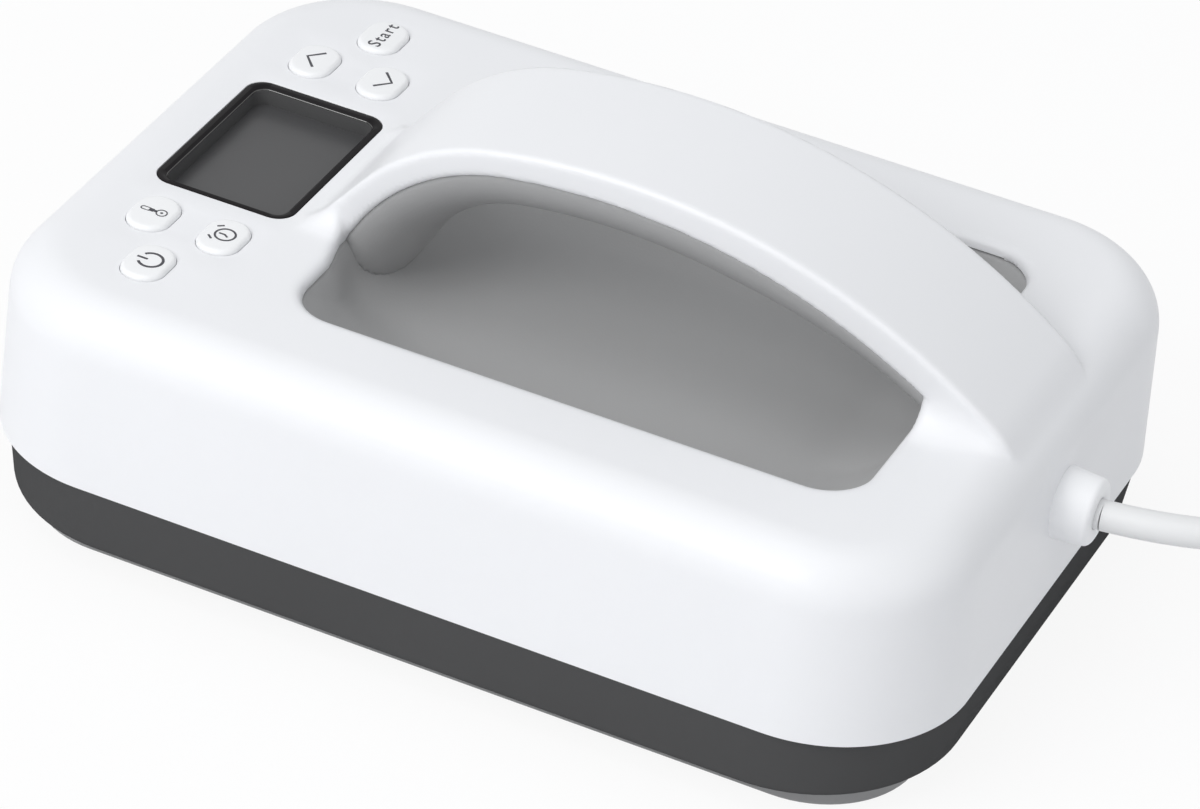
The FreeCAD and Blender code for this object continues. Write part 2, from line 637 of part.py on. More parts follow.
def handle_grip():
    """Grey grip under the handle: half an ellipse swept along the lower edge, ended by the well."""
    spine, low, along = arch_spine()
    half, belly = number("handle_width/2"), number("grip_belly")
    inward = Vector(along.z, 0, -along.x)
    ellipse = Part.Ellipse(low + Vector(0, half, 0), low + inward * belly, low)
    arc = Part.ArcOfEllipse(ellipse, 0, math.pi).toShape()
    ends = [vertex.Point for vertex in arc.Vertexes]
    section = Part.Wire([arc, Part.LineSegment(ends[-1], ends[0]).toShape()])
    belly_solid = spine.makePipeShell([section], True, False)
    space = well_space()
    feature = doc.addObject("Part::Feature", "handle_grip")
    feature.Label = "handle_grip"
    feature.Shape = belly_solid.common(space.Shape)
    subparts.append(feature)
    return feature


BASE_DRAFT = "atan(base_lean/(seam_height - base_bottom))"
PAD_TOP = "plate_depth + pad_depth"
SHIELD_TOP = "plate_depth + pad_depth + shield_depth"
TAILS = [("element_tail", f"{side}*element_turn") for side in SIDES]
SPACERS = [(f"{end}*spacer_along", f"{side}*spacer_across") for end in SIDES for side in SIDES]
EARS = [(f"{end}*ear_along", f"{side}*body_width/2 - {side}*plate_inset - {side}*ear_inset")
        for end in (-1, 0, 1) for side in SIDES]


def block(label, length, width, depth, x, y, z):
    """Box with its underside's centre at x, y, z."""
    thing = doc.addObject("Part::Box", label)
    thing.Label = label
    bind(thing, "Length", length)
    bind(thing, "Width", width)
    bind(thing, "Height", depth)
    bind(thing, "Placement.Base.x", f"{x} - ({length})/2")
    bind(thing, "Placement.Base.y", f"{y} - ({width})/2")
    bind(thing, "Placement.Base.z", z)
    return thing


def rod(label, bore, depth, x, y, z, axis="Z"):
    """Cylinder that starts at x, y, z and runs along +Z or +X."""
    thing = doc.addObject("Part::Cylinder", label)
    thing.Label = label
    if axis == "X":
        thing.Placement.Rotation = FreeCAD.Rotation(Vector(0, 1, 0), 90)
    bind(thing, "Radius", f"({bore})/2")
    bind(thing, "Height", depth)
    for name, words in zip("xyz", (x, y, z)):
        bind(thing, "Placement.Base." + name, words)
    return thing


def fuse(label, things):
    """One solid of several that touch or overlap."""
    whole = doc.addObject("Part::MultiFuse", label)
    whole.Label = label
    whole.Shapes = things
    doc.recompute()
    return whole


def cut(label, base, tools):
    """The base without the tools."""
    whole = doc.addObject("Part::Cut", label)
    whole.Label = label
    whole.Base = base
    whole.Tool = tools[0] if len(tools) == 1 else fuse(label + "_tools", tools)
    doc.recompute()
    return whole


def group(label, things):
    """Alike pieces that share one node, as separate solids."""
    together = doc.addObject("Part::Compound", label)
    together.Label = label
    together.Links = things
    doc.recompute()
    subparts.append(together)
    return together


def listed(thing):
    """Make an object a sub-part."""
    subparts.append(thing)
    return thing


def slab(label, length, width, corner, low, depth, holes=(), x="0", y="0"):
    """Flat rounded plate with round holes, each a bore with its x and y."""
    body = new_body(label)
    outline = new_sketch(body, offset=low)
    draw_rectangle(outline, length, width, corner, x, y)
    for bore, hole_x, hole_y in holes:
        draw_circle(outline, bore, hole_x, hole_y)
    grow(body, outline, depth)
    return body


def screw(label, x, y, seat, reach, up=False):
    """Pan head on its seat and a plain shank; the head is above the seat, or below it."""
    head_low = f"{seat} - head_depth" if up else seat
    shank_low = seat if up else f"{seat} - ({reach})"
    head = rod(label + "_head", "screw_head", "head_depth", x, y, head_low)
    shank = rod(label + "_shank", "screw_bore", reach, x, y, shank_low)
    return fuse(label, [head, shank])


def base_ring():
    """Dark lower housing: drafted band, seat for the shield, screw ears and rim tongue."""
    body = new_body("base_ring")
    low = "base_bottom"
    lean_in = "base_setback + base_lean"
    outline = new_sketch(body, offset=low)
    draw_rectangle(outline, f"body_length - 2*base_setback - 2*base_lean",
                   f"body_width - 2*base_setback - 2*base_lean",
                   f"body_corner - {lean_in}")
    grow(body, outline, "seam_height - base_bottom", BASE_DRAFT)
    soften(body, at_height(number(low)), "base_round")
    inside = new_sketch(body, offset="seam_height")
    wall = "base_setback + base_wall"
    draw_rectangle(inside, f"body_length - 2*({wall})", f"body_width - 2*({wall})",
                   f"body_corner - ({wall})")
    sink(body, inside, f"seam_height - ({PAD_TOP})", f"-{BASE_DRAFT}")
    opening = new_sketch(body, offset="seam_height")
    draw_rectangle(opening, "body_length - 2*plate_inset + 2*plate_gap", "body_width - 2*plate_inset + 2*plate_gap",
                   "plate_corner + plate_gap")
    sink(body, opening, "seam_height")
    ears = new_sketch(body, offset=PAD_TOP)
    for x, y in EARS:
        draw_circle(ears, "ear_bore", x, y)
    grow(body, ears, "ear_depth", back=True)
    holes = new_sketch(body, offset=PAD_TOP)
    for x, y in EARS:
        draw_circle(holes, "screw_bore", x, y)
    sink(body, holes, "ear_depth")
    tongue = new_sketch(body, offset="seam_height - tongue_height")
    edge = "shell_wall + tongue_gap"
    for inset in (edge, edge + " + tongue_wall"):
        draw_rectangle(tongue, f"body_length - 2*({inset})", f"body_width - 2*({inset})",
                       f"body_corner - ({inset})")
    grow(body, tongue, "2*tongue_height")
    return body


def arc_path(corners, tightest=0.0):
    """Wire of straight runs joined by tangent arcs, each as large as its two runs allow."""
    points = [Vector(*corner) for corner in corners]
    edges, radii = [], []
    here = points[0]
    for before, corner, after in zip(points, points[1:], points[2:]):
        back = (before - corner).normalize()
        ahead = (after - corner).normalize()
        half_turn = (math.pi - back.getAngle(ahead)) / 2
        reach = 0.45 * min((before - corner).Length, (after - corner).Length)
        radius = reach / math.tan(half_turn)
        start, stop = corner + back * reach, corner + ahead * reach
        hub = corner + (back + ahead).normalize() * (radius / math.cos(half_turn))
        middle = hub + (corner - hub).normalize() * radius
        edges.append(Part.LineSegment(here, start).toShape())
        edges.append(Part.Arc(start, middle, stop).toShape())
        radii.append(radius)
        here = stop
    edges.append(Part.LineSegment(here, points[-1]).toShape())
    return Part.Wire(edges), radii


def tube(wire, bore):
    """Round solid of a bore's diameter along a wire."""
    start = wire.OrderedEdges[0]
    centre = start.valueAt(start.FirstParameter)
    along = start.tangentAt(start.FirstParameter)
    if (centre - wire.OrderedVertexes[0].Point).Length > 1e-6:
        centre, along = start.valueAt(start.LastParameter), start.tangentAt(start.LastParameter) * -1
    ring = Part.Wire([Part.Circle(centre, along, bore / 2).toShape()])
    return wire.makePipeShell([ring], True, False)


def shape_feature(label, shape):
    """Sub-part whose shape is made with curves directly."""
    feature = doc.addObject("Part::Feature", label)
    feature.Label = label
    feature.Shape = shape
    subparts.append(feature)
    return feature


def heating_element():
    """Tubular element in an M, cast into the plate, with two cold tails that rise."""
    turn, leg, tail = number("element_turn"), number("element_leg"), number("element_tail")
    z, top, far = number("element_height"), number("element_tail_top"), number("element_cross")
    inner, outer = turn, 3 * turn
    swing = number("tail_turn")
    places = []

    def line(start, stop):
        places.append(Part.LineSegment(Vector(*start), Vector(*stop)).toShape())

    def arc(start, middle, stop):
        places.append(Part.Arc(Vector(*start), Vector(*middle), Vector(*stop)).toShape())

    slant = math.sqrt(0.5)
    for side in SIDES:
        line((tail, side * inner, top), (tail, side * inner, z + swing))
        arc((tail, side * inner, z + swing),
            (tail - swing * (1 - slant), side * inner, z + swing * (1 - slant)),
            (tail - swing, side * inner, z))
        line((tail - swing, side * inner, z), (-leg, side * inner, z))
        arc((-leg, side * inner, z), (-leg - turn, side * (inner + turn), z), (-leg, side * outer, z))
        line((-leg, side * outer, z), (far - turn, side * outer, z))
        arc((far - turn, side * outer, z),
            (far - turn + turn * slant, side * (outer - turn + turn * slant), z),
            (far, side * (outer - turn), z))
    line((far, turn - outer, z), (far, outer - turn, z))
    wire = Part.Wire(Part.__sortEdges__(places))
    return shape_feature("heating_element", tube(wire, number("element_bore")))


def heat_plate(element):
    """Cast aluminium plate round the element, with a rounded lower edge and screw holes."""
    body = doc.addObject("PartDesign::Body", "plate_casting")
    outline = new_sketch(body)
    draw_rectangle(outline, "body_length - 2*plate_inset", "body_width - 2*plate_inset", "plate_corner")
    grow(body, outline, "plate_depth")
    soften(body, at_height(0.0), "plate_edge")
    holes = new_sketch(body, offset="plate_depth")
    for x, y in SPACERS:
        draw_circle(holes, "screw_bore", x, y)
    sink(body, holes, "plate_screw_grip")
    return listed(cut("heat_plate", body, [element]))


def plate_stack():
    """Insulation, shield, spacers and the screws that hang the plate."""
    inset = "pad_inset"
    clear = "element_bore + 2*hole_gap"
    slab("insulation_pad", f"body_length - 2*plate_inset - 2*{inset}", f"body_width - 2*plate_inset - 2*{inset}",
         f"plate_corner - {inset}", "plate_depth", "pad_depth",
         [("spacer_bore", x, y) for x, y in SPACERS] + [(clear, x, y) for x, y in TAILS]
         + [("sensor_bore", "0", "0")])
    seat = "plate_gap + shield_seat"
    slab("heat_shield", f"body_length - 2*plate_inset + 2*({seat})", f"body_width - 2*plate_inset + 2*({seat})",
         f"plate_corner + {seat}", PAD_TOP, "shield_depth",
         [("screw_bore", x, y) for x, y in SPACERS + EARS] + [(clear, x, y) for x, y in TAILS])
    spacers = [cut("spacer", rod("spacer_body", "spacer_bore", "pad_depth", x, y, "plate_depth"),
                   [rod("spacer_hole", "screw_bore", "pad_depth", x, y, "plate_depth")])
               for x, y in SPACERS]
    group("plate_spacers", spacers)
    reach = "shield_depth + pad_depth + plate_screw_grip"
    group("plate_screws", [screw("plate_screw", x, y, SHIELD_TOP, reach) for x, y in SPACERS])
    group("shield_screws", [screw("shield_screw", x, y, SHIELD_TOP, "shield_depth + ear_depth")
                            for x, y in EARS])


def display():
    """Frame with its lip under the housing, window in its rebate, and display module."""
    frame = new_body("display_frame")
    low = "top_height - window_sink - window_depth"
    lip = new_sketch(frame, offset=ROOF)
    draw_rectangle(lip, "frame_length + 2*frame_lip", "frame_width + 2*frame_lip",
                   "frame_corner + frame_lip", x=DISPLAY)
    grow(frame, lip, "window_sink + window_depth - shell_wall", back=True)
    rim = new_sketch(frame, offset=ROOF)
    draw_rectangle(rim, "frame_length", "frame_width", "frame_corner", x=DISPLAY)
    grow(frame, rim, "shell_wall")
    opening = new_sketch(frame, offset="top_height")
    draw_rectangle(opening, "frame_length - 2*frame_rim", "frame_width - 2*frame_rim",
                   "frame_corner - frame_rim + 0.6", x=DISPLAY)
    sink(frame, opening, "2*window_sink")
    rebate = new_sketch(frame, offset=low)
    grown = "window_lap"
    draw_rectangle(rebate, f"frame_length - 2*frame_rim + 2*{grown}",
                   f"frame_width - 2*frame_rim + 2*{grown}",
                   "frame_corner - frame_rim + 0.6", x=DISPLAY)
    sink(frame, rebate, "window_depth", back=True)
    slab("display_window", f"frame_length - 2*frame_rim + 2*{grown}",
         f"frame_width - 2*frame_rim + 2*{grown}", "frame_corner - frame_rim + 0.6",
         low, "window_depth", x=DISPLAY)
    slab("display_module", "frame_length", "frame_width - 2*frame_rim", "0.5",
         "board_top", f"{low} - board_top", x=DISPLAY)


def buttons():
    """Six push buttons, each with its stem, over a switch with its own plunger."""
    housings = []
    lip_top = ROOF + " - lip_gap"
    switch_top = "board_top + switch_depth"
    plunger_top = switch_top + " + plunger_rise"
    for name, x, y in BUTTONS:
        cap = new_body("button_" + name)
        face = new_sketch(cap, offset=lip_top)
        draw_rectangle(face, "button_length", "button_width", "button_corner", x, y)
        grow(cap, face, "shell_wall + lip_gap + button_proud")
        soften(cap, at_height(number("top_height + button_proud")), "button_edge")
        lip = new_sketch(cap, offset=lip_top)
        draw_rectangle(lip, "button_length + 2*button_lip", "button_width + 2*button_lip",
                       "button_corner + button_lip", x, y)
        grow(cap, lip, "button_lip", back=True)
        stem = new_sketch(cap, offset=lip_top)
        draw_circle(stem, "stem_bore", x, y)
        grow(cap, stem, f"{lip_top} - ({plunger_top})", back=True)
        listed(rod("plunger_" + name, "plunger_bore", "plunger_rise + plunger_seat", x, y,
                   switch_top + " - plunger_seat"))
        case = block("switch_case", "switch_side", "switch_side", "switch_depth", x, y, "board_top")
        bore = rod("switch_bore", "plunger_bore + 2*plunger_gap", "switch_depth", x, y,
                   switch_top + " - plunger_seat - 2*button_travel")
        housings.append(cut("switch", case, [bore]))
    group("switch_housings", housings)


def control_board():
    """Board under the controls, held to the housing's posts, with its sounder."""
    slab("control_board", "board_length", "body_width - 2*board_side", "board_corner", "board_top - board_depth",
         "board_depth", [("screw_bore", x, y) for x, y in POSTS],
         x=BOARD_FRONT + " + board_length/2")
    group("board_screws", [screw("board_screw", x, y, "board_top - board_depth",
                                 "board_depth + post_screw_grip", up=True) for x, y in POSTS])
    listed(rod("sounder", "sounder_bore", "sounder_depth", BOARD_FRONT + " + board_length/2", "0",
               "board_top - board_depth - sounder_depth"))


def power_board():
    """Mains board on its pillars, with the relay, transformer and the rest on top."""
    low = SHIELD_TOP + " + pillar_height"
    top = low + " + board_depth"
    holes = [(f"power_centre_x + {end}*power_length/2 - {end}*post_inset",
              f"power_centre_y + {side}*power_width/2 - {side}*post_inset")
             for end in SIDES for side in SIDES]
    slab("power_board", "power_length", "power_width", "board_corner", low, "board_depth",
         [("screw_bore", x, y) for x, y in holes], x="power_centre_x", y="power_centre_y")
    pillars = [cut("pillar", rod("pillar_body", "post_bore", "pillar_height", x, y, SHIELD_TOP),
                   [rod("pillar_hole", "screw_bore", "pillar_height", x, y, SHIELD_TOP)])
               for x, y in holes]
    group("board_pillars", pillars)
    group("power_screws", [screw("power_screw", x, y, top, "board_depth + pillar_height - 1")
                           for x, y in holes])
    near, far = "power_centre_y - row_near", "power_centre_y + row_far"
    listed(block("relay", "relay_length", "relay_width", "relay_depth",
                 "power_centre_x - core_gap - relay_length/2 - core_length/2 + 2", near, top))
    core = block("core", "core_length", "core_width", "core_depth", "power_centre_x + 2", near, top)
    bobbin = block("bobbin", "bobbin_length", "bobbin_width", "bobbin_depth", "power_centre_x + 2",
                   near, top + " + core_depth/2 - bobbin_depth/2")
    listed(fuse("transformer", [core, bobbin]))
    listed(block("capacitor", "capacitor_length", "capacitor_width", "capacitor_depth",
                 "power_centre_x - capacitor_length + 2", far, top))
    posts = block("terminal_body", "terminal_length", "3*terminal_pitch + terminal_bore",
                  "terminal_depth", TERMINAL_X, TERMINAL_Y, top)
    screws = [rod("terminal_screw", "terminal_bore", "terminal_depth + terminal_proud", TERMINAL_X,
                  f"{TERMINAL_Y} + {step}*terminal_pitch", top) for step in (-1, 0, 1)]
    listed(fuse("terminal_block", [posts] + screws))
    middle = "power_centre_x + fuse_length/2 - 2"
    caps = block("fuse_ends", "fuse_length", "fuse_side", "fuse_side", middle, far, top)
    waist = block("fuse_gap", "fuse_waist", "2*fuse_side", "2*fuse_side", middle, far,
                  top + " - fuse_side/2")
    glass = rod("fuse_glass", "fuse_bore", "fuse_waist", "power_centre_x + fuse_length/2 - 2 - fuse_waist/2",
                far, top + " + fuse_side/2", "X")
    listed(fuse("line_fuse", [cut("fuse_caps", caps, [waist]), glass]))


TERMINAL_X = "power_centre_x + power_length/2 - terminal_inset"
TERMINAL_Y = "power_centre_y"


def sensors():
    """Bead sensor on the plate, and the thermal fuse on the shield."""
    listed(rod("temperature_sensor", "sensor_bore", "pad_depth", "0", "0", "plate_depth"))
    body = rod("fuse_case", "thermal_bore", "thermal_length", "-thermal_place - thermal_length/2", "0",
               SHIELD_TOP + " + thermal_bore/2", "X")
    foot = block("fuse_clip", "thermal_clip", "thermal_clip", "thermal_bore/2", "-thermal_place", "0",
                 SHIELD_TOP)
    listed(fuse("thermal_fuse", [body, foot]))


def cord_outlet():
    """Collar turned about the cord's axis, inner end of the cord and its clamp."""
    body = new_body("cord_gland")
    sketch = new_sketch(body, "XZ_Plane")
    hole = "gland_height + cord_bore/2"
    wide, narrow = "gland_height + collar_wide/2", "gland_height + collar_narrow/2"
    neck = "gland_height + neck_bore/2"
    draw_outline(sketch, [
        (SEAT + " - shell_wall - 2", hole), (COLLAR_END, hole), (COLLAR_END, narrow),
        (SEAT, wide), (SEAT, neck), (SEAT + " - shell_wall", neck),
        (SEAT + " - shell_wall", neck + " + 2"), (SEAT + " - shell_wall - 2", neck + " + 2")])
    axis = sketch.addGeometry(Part.LineSegment(Vector(0, 30, 0), Vector(90, 30, 0)), True)
    sketch.addConstraint(Sketcher.Constraint("Horizontal", axis))
    place(sketch, axis, 1, "0", "gland_height")
    turned = body.newObject("PartDesign::Revolution", "collar_turn")
    turned.Profile = sketch
    turned.ReferenceAxis = (sketch, ["Axis0"])
    turned.Angle = 360
    doc.recompute()
    soften(body, outer_collar_edge, "collar_round")
    inner_start = CLAMP + " - clamp_depth - 6"
    listed(rod("cord_inner", "cord_bore", f"{COLLAR_END} - ({inner_start})", inner_start, "0",
               "gland_height", "X"))
    clamp = new_body("cord_clamp")
    plate = new_sketch(clamp, "YZ_Plane", CLAMP)
    draw_rectangle(plate, "2*clamp_hole + boss_bore", "cord_bore + 6", "3", "0", "gland_height")
    draw_circle(plate, "cord_bore", "0", "gland_height")
    for side in SIDES:
        draw_circle(plate, "screw_bore", f"{side}*clamp_hole", "gland_height")
    grow(clamp, plate, "clamp_depth", back=True)
    screws = []
    for side in SIDES:
        y = f"{side}*clamp_hole"
        head = rod("clamp_head", "screw_head", "head_depth",
                   CLAMP + " - clamp_depth - head_depth", y, "gland_height", "X")
        shank = rod("clamp_shank", "screw_bore", "clamp_depth + clamp_screw_grip",
                    CLAMP + " - clamp_depth", y, "gland_height", "X")
        screws.append(fuse("clamp_screw", [head, shank]))
    group("clamp_screws", screws)


def outer_collar_edge(edge):
    """Outer rim of the collar, at its free end."""
    box = edge.BoundBox
    return (abs(box.XMin - number(COLLAR_END)) < 0.01
            and box.YLength > number("collar_narrow") - 0.1)


def inner_wires():
    """Mains wires from the cord to the terminal block, element wires and the ribbon."""
    bore = number("wire_bore")
    start = number(CLAMP + " - clamp_depth - 6")
    high = number("gland_height")
    board = number(SHIELD_TOP + " + pillar_height + board_depth")
    face = number(TERMINAL_X + " + terminal_length/2")
    middle = number(TERMINAL_Y)
    spread = number("terminal_pitch")
    wires = []
    for side, offset_y, offset_z in ((-1, -1.5, -0.9), (0, 0.0, 1.7), (1, 1.5, -0.9)):
        wire, radii = arc_path([
            (start, offset_y, high + offset_z),
            (start - 6, offset_y + 1, high + offset_z - 0.3),
            (start - 14, 5 + 3 * side, high - 5 + offset_z),
            (start - 24, 12 + 5 * side, high - 9.5 + offset_z / 2),
            (face + 6, middle + spread * side - 1, board + 5),
            (face, middle + spread * side, board + 5)])
        wires.append(tube(wire, bore))
    shape_feature("mains_wires", Part.Compound(wires))
    tail_x, tail_y = number("element_tail"), number("element_turn")
    tail_top = number("element_tail_top")
    feet_x = number("power_centre_x + power_length/2 - 3")
    links = []
    for side, foot_y in ((-1, 2.5), (1, 5.5)):
        wire, radii = arc_path([
            (tail_x, side * tail_y, tail_top),
            (tail_x, side * tail_y, tail_top + 5),
            (tail_x - 6, (side * tail_y + foot_y) / 2, tail_top + 8),
            (feet_x, foot_y, tail_top + 5),
            (feet_x, foot_y, board)])
        links.append(tube(wire, bore))
    shape_feature("element_wires", Part.Compound(links))
    ribbon = new_body("ribbon_cable")
    sketch = new_sketch(ribbon, "XZ_Plane", "-power_centre_y")
    low = "board_top - board_depth"
    desk = SHIELD_TOP + " + pillar_height + board_depth"
    left = BOARD_FRONT + " + board_length - 4"
    end = "power_centre_x - power_length/2 + 3"
    draw_outline(sketch, [
        (left, low), (f"{left} + ribbon_depth", low), (f"{left} + ribbon_depth", desk + " + 4"),
        (end, desk + " + 4"), (end, desk), (f"{end} - ribbon_depth", desk),
        (f"{end} - ribbon_depth", desk + " + 4 - ribbon_depth"), (left, desk + " + 4 - ribbon_depth")])
    grow(ribbon, sketch, "ribbon_width", both=True)


LEAD_ROUTE = [
    (107.5, 0.0, 38.6),
    (117.0, 0.6, 38.6),
    (133.0, 4.8, 38.0),
    (148.0, 11.0, 32.6),
    (162.0, 17.6, 23.0),
    (176.0, 23.4, 12.4),
    (190.0, 26.6, 5.0),
    (205.0, 26.6, 3.8),
    (216.0, 26.6, 3.8),
]
TAIL_ROUTE = [
    (216.0, 26.6, 10.4),
    (226.0, 26.6, 10.4),
    (240.0, 25.6, 9.2),
    (254.0, 21.8, 6.4),
    (266.0, 15.0, 4.2),
    (274.8, 5.2, 3.8),
    (280.0, -6.6, 5.8),
    (281.6, -19.0, 9.0),
    (281.6, -29.0, 9.0),
]


def coil_radius(turn):
    """Radius of the coil's centre line after a number of turns."""
    pitch, turns = number("coil_pitch"), number("coil_turns")
    inner = number("coil_middle") - pitch * turns / 4
    away = abs(turn - turns / 2)
    return inner + pitch * (0.125 + 2 * away ** 2 if away < 0.25 else away)


def coil_point(turn):
    """Place and direction on the coil's centre line after a number of turns.

    The cord spirals in on the table, climbs a layer in the half turn where the spiral
    reverses, and spirals out again on top.
    """
    pitch, turns = number("coil_pitch"), number("coil_turns")
    away = turn - turns / 2
    if abs(away) < 0.25:
        slope = pitch * 4 * away
        rise = 0.5 + 2 * away
        height = pitch * rise ** 2 * (3 - 2 * rise)
        climb = pitch * 12 * rise * (1 - rise)
    else:
        slope = math.copysign(pitch, away)
        height = pitch if away > 0 else 0.0
        climb = 0.0
    angle = math.pi / 2 - 2 * math.pi * turn
    spoke = Vector(math.cos(angle), math.sin(angle), 0)
    round_way = Vector(math.sin(angle), -math.cos(angle), 0)
    start = Vector(*LEAD_ROUTE[-1])
    centre = Vector(start.x, start.y - coil_radius(0), number("coil_rest"))
    point = centre + spoke * coil_radius(turn) + UP * height
    way = (spoke * slope + round_way * (2 * math.pi * coil_radius(turn)) + UP * climb).normalize()
    return point, way


def biarc(start, start_way, stop, stop_way):
    """Two arcs that meet in a common tangent and take the given directions at their ends."""
    span = stop - start
    both = start_way + stop_way
    square = 2 * (1 - start_way.dot(stop_way))
    reach = (-span.dot(both) + math.sqrt(span.dot(both) ** 2 + 2 * square * span.dot(span) / 2))
    reach /= square
    first, second = start + start_way * reach, stop - stop_way * reach
    meet = (first + second) / 2
    edges = []
    for tail, corner, head in ((start, first, meet), (meet, second, stop)):
        chord = (tail + head) / 2
        bow = corner - chord
        half = (head - tail).Length / 2
        side = (corner - tail).Length
        sagitta = half * (side - half) / bow.Length
        edges.append(Part.Arc(tail, chord + bow.normalize() * sagitta, head).toShape())
    return edges


def cord_coil():
    """The unseen length, wound in two layers as one tube with straight ends."""
    bore = number("cord_bore")
    turns = number("coil_turns")
    quarters = round(4 * turns)
    stops = [coil_point(turns * index / quarters) for index in range(quarters + 1)]
    begin, begin_way = Vector(*LEAD_ROUTE[-1]), Vector(1, 0, 0)
    finish, finish_way = Vector(*TAIL_ROUTE[0]), Vector(1, 0, 0)
    stops[0] = (begin + begin_way * bore, begin_way)
    stops[-1] = (finish - finish_way * bore, finish_way)
    edges = [Part.LineSegment(begin, stops[0][0]).toShape()]
    for (start, start_way), (stop, stop_way) in zip(stops, stops[1:]):
        edges += biarc(start, start_way, stop, stop_way)
    edges.append(Part.LineSegment(stops[-1][0], finish).toShape())
    wire = Part.Wire(edges)
    print("coil length", round(wire.Length, 1), "least gap", round(least_gap(edges, bore), 2))
    return shape_feature("cord_coil", tube(wire, bore))


def least_gap(edges, bore):
    """Least distance between the tube's own turns, measured on points along its middle."""
    step = 2.0
    places, run = [], 0.0
    for edge in edges:
        count = max(2, round(edge.Length / step))
        for index in range(count):
            share = index / count
            span = edge.LastParameter - edge.FirstParameter
            places.append((run + share * edge.Length, edge.valueAt(edge.FirstParameter + share * span)))
        run += edge.Length
    nearest = min((near - far).Length for index, (here, near) in enumerate(places)
                  for there, far in places[index + 1:] if there - here > 4 * bore)
    return nearest - bore


def cord_stretch(label, route):
    """Tube along a stretch that lies free."""
    bore = number("cord_bore")
    wire, radii = arc_path(route)
    shape = tube(wire, bore)
    section = math.pi * bore ** 2 / 4
    print(label, "length", round(wire.Length, 1), "radii", [round(radius) for radius in radii],
          "volume ratio", round(shape.Volume / (section * wire.Length), 4))
    return shape_feature(label, shape)


def cord_tie():
    """Flat strap round one side of the coil, under it and over it."""
    wall = number("tie_wall")
    turns = number("coil_turns")
    bore = number("cord_bore")
    start = Vector(*LEAD_ROUTE[-1])
    centre = Vector(start.x, start.y - coil_radius(0), 0)
    slack = number("tie_slack")
    inner = coil_radius(round(turns / 2) - 0.25) - bore / 2 - slack
    outer = coil_radius(turns - 0.25) + bore / 2 + slack
    low = number("coil_rest") - bore / 2 - wall
    height = number("coil_pitch") + bore + 2 * wall + number("tie_room")
    length = outer - inner + 2 * wall
    outside = Part.makeBox(length, number("tie_width"), height)
    hollow = Part.makeBox(length - 2 * wall, number("tie_width"), height - 2 * wall,
                          Vector(wall, 0, wall))
    strap = outside.cut(hollow)
    corner = centre + Vector(-outer - wall, -number("tie_width") / 2, low)
    strap.translate(corner)
    return shape_feature("cord_tie", strap)


def plug():
    """Moulded plug with its tapered relief, and its two blades and earth pin."""
    end = Vector(*TAIL_ROUTE[-1])
    x, y, z = ("%g" % value for value in end)
    head = block("plug_head", "plug_width", "plug_length", "plug_depth", x,
                 f"{y} - relief_length - plug_length/2", f"{z} - plug_depth/2")
    rounded = doc.addObject("Part::Fillet", "plug_head_round")
    rounded.Base = head
    doc.recompute()
    corner = number("plug_corner")
    rounded.Edges = [(index + 1, corner, corner) for index in range(len(head.Shape.Edges))]
    relief = doc.addObject("Part::Cone", "plug_relief")
    relief.Placement.Rotation = FreeCAD.Rotation(Vector(1, 0, 0), 90)
    bind(relief, "Radius1", "relief_start")
    bind(relief, "Radius2", "plug_depth/2 - plug_corner")
    bind(relief, "Height", "relief_length + relief_overlap")
    for name, words in zip("xyz", (x, y, z)):
        bind(relief, "Placement.Base." + name, words)
    listed(fuse("plug_body", [rounded, relief]))
    face = f"{y} - relief_length - plug_length - blade_length/2"
    blades = [block("blade", "blade_thick", "blade_length", "blade_depth",
                    f"{x} + {side}*blade_across/2", face, f"{z} + blade_rise - blade_depth/2")
              for side in SIDES]
    pin = doc.addObject("Part::Cylinder", "earth_pin")
    pin.Placement.Rotation = FreeCAD.Rotation(Vector(1, 0, 0), 90)
    bind(pin, "Radius", "pin_bore/2")
    bind(pin, "Height", "blade_length + pin_extra")
    for name, words in zip("xyz", (x, f"{y} - relief_length - plug_length", f"{z} - pin_drop")):
        bind(pin, "Placement.Base." + name, words)
    group("plug_blades", blades + [pin])


top_shell()
well_panel()
handle_grip()
base_ring()
heat_plate(heating_element())
plate_stack()
display()
buttons()
control_board()
power_board()
sensors()
cord_outlet()
inner_wires()
cord_stretch("cord_lead", LEAD_ROUTE)
cord_coil()
cord_stretch("cord_tail", TAIL_ROUTE)
cord_tie()
plug()


def write_all():
    """Check every object and sub-part, then write one file for each sub-part."""
    doc.recompute()
    for thing in doc.Objects:
        if "Invalid" in thing.State or "Error" in thing.State:
            raise RuntimeError(thing.Label + " failed")
    os.makedirs("parts", exist_ok=True)
    for thing in subparts:
        if thing.Shape.isNull() or not thing.Shape.isValid():
            raise RuntimeError(thing.Label + " has no valid shape")
        thing.Shape.exportStep("parts/%s.step" % thing.Label)
        print(thing.Label, len(thing.Shape.Solids), round(thing.Shape.Volume, 1))


write_all()
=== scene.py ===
"""Looks of a mini handheld heat press: moulded body, grip, controls, cord, light and camera."""

import math

import bmesh
import bpy
import numpy as np
from mathutils import Matrix, Vector


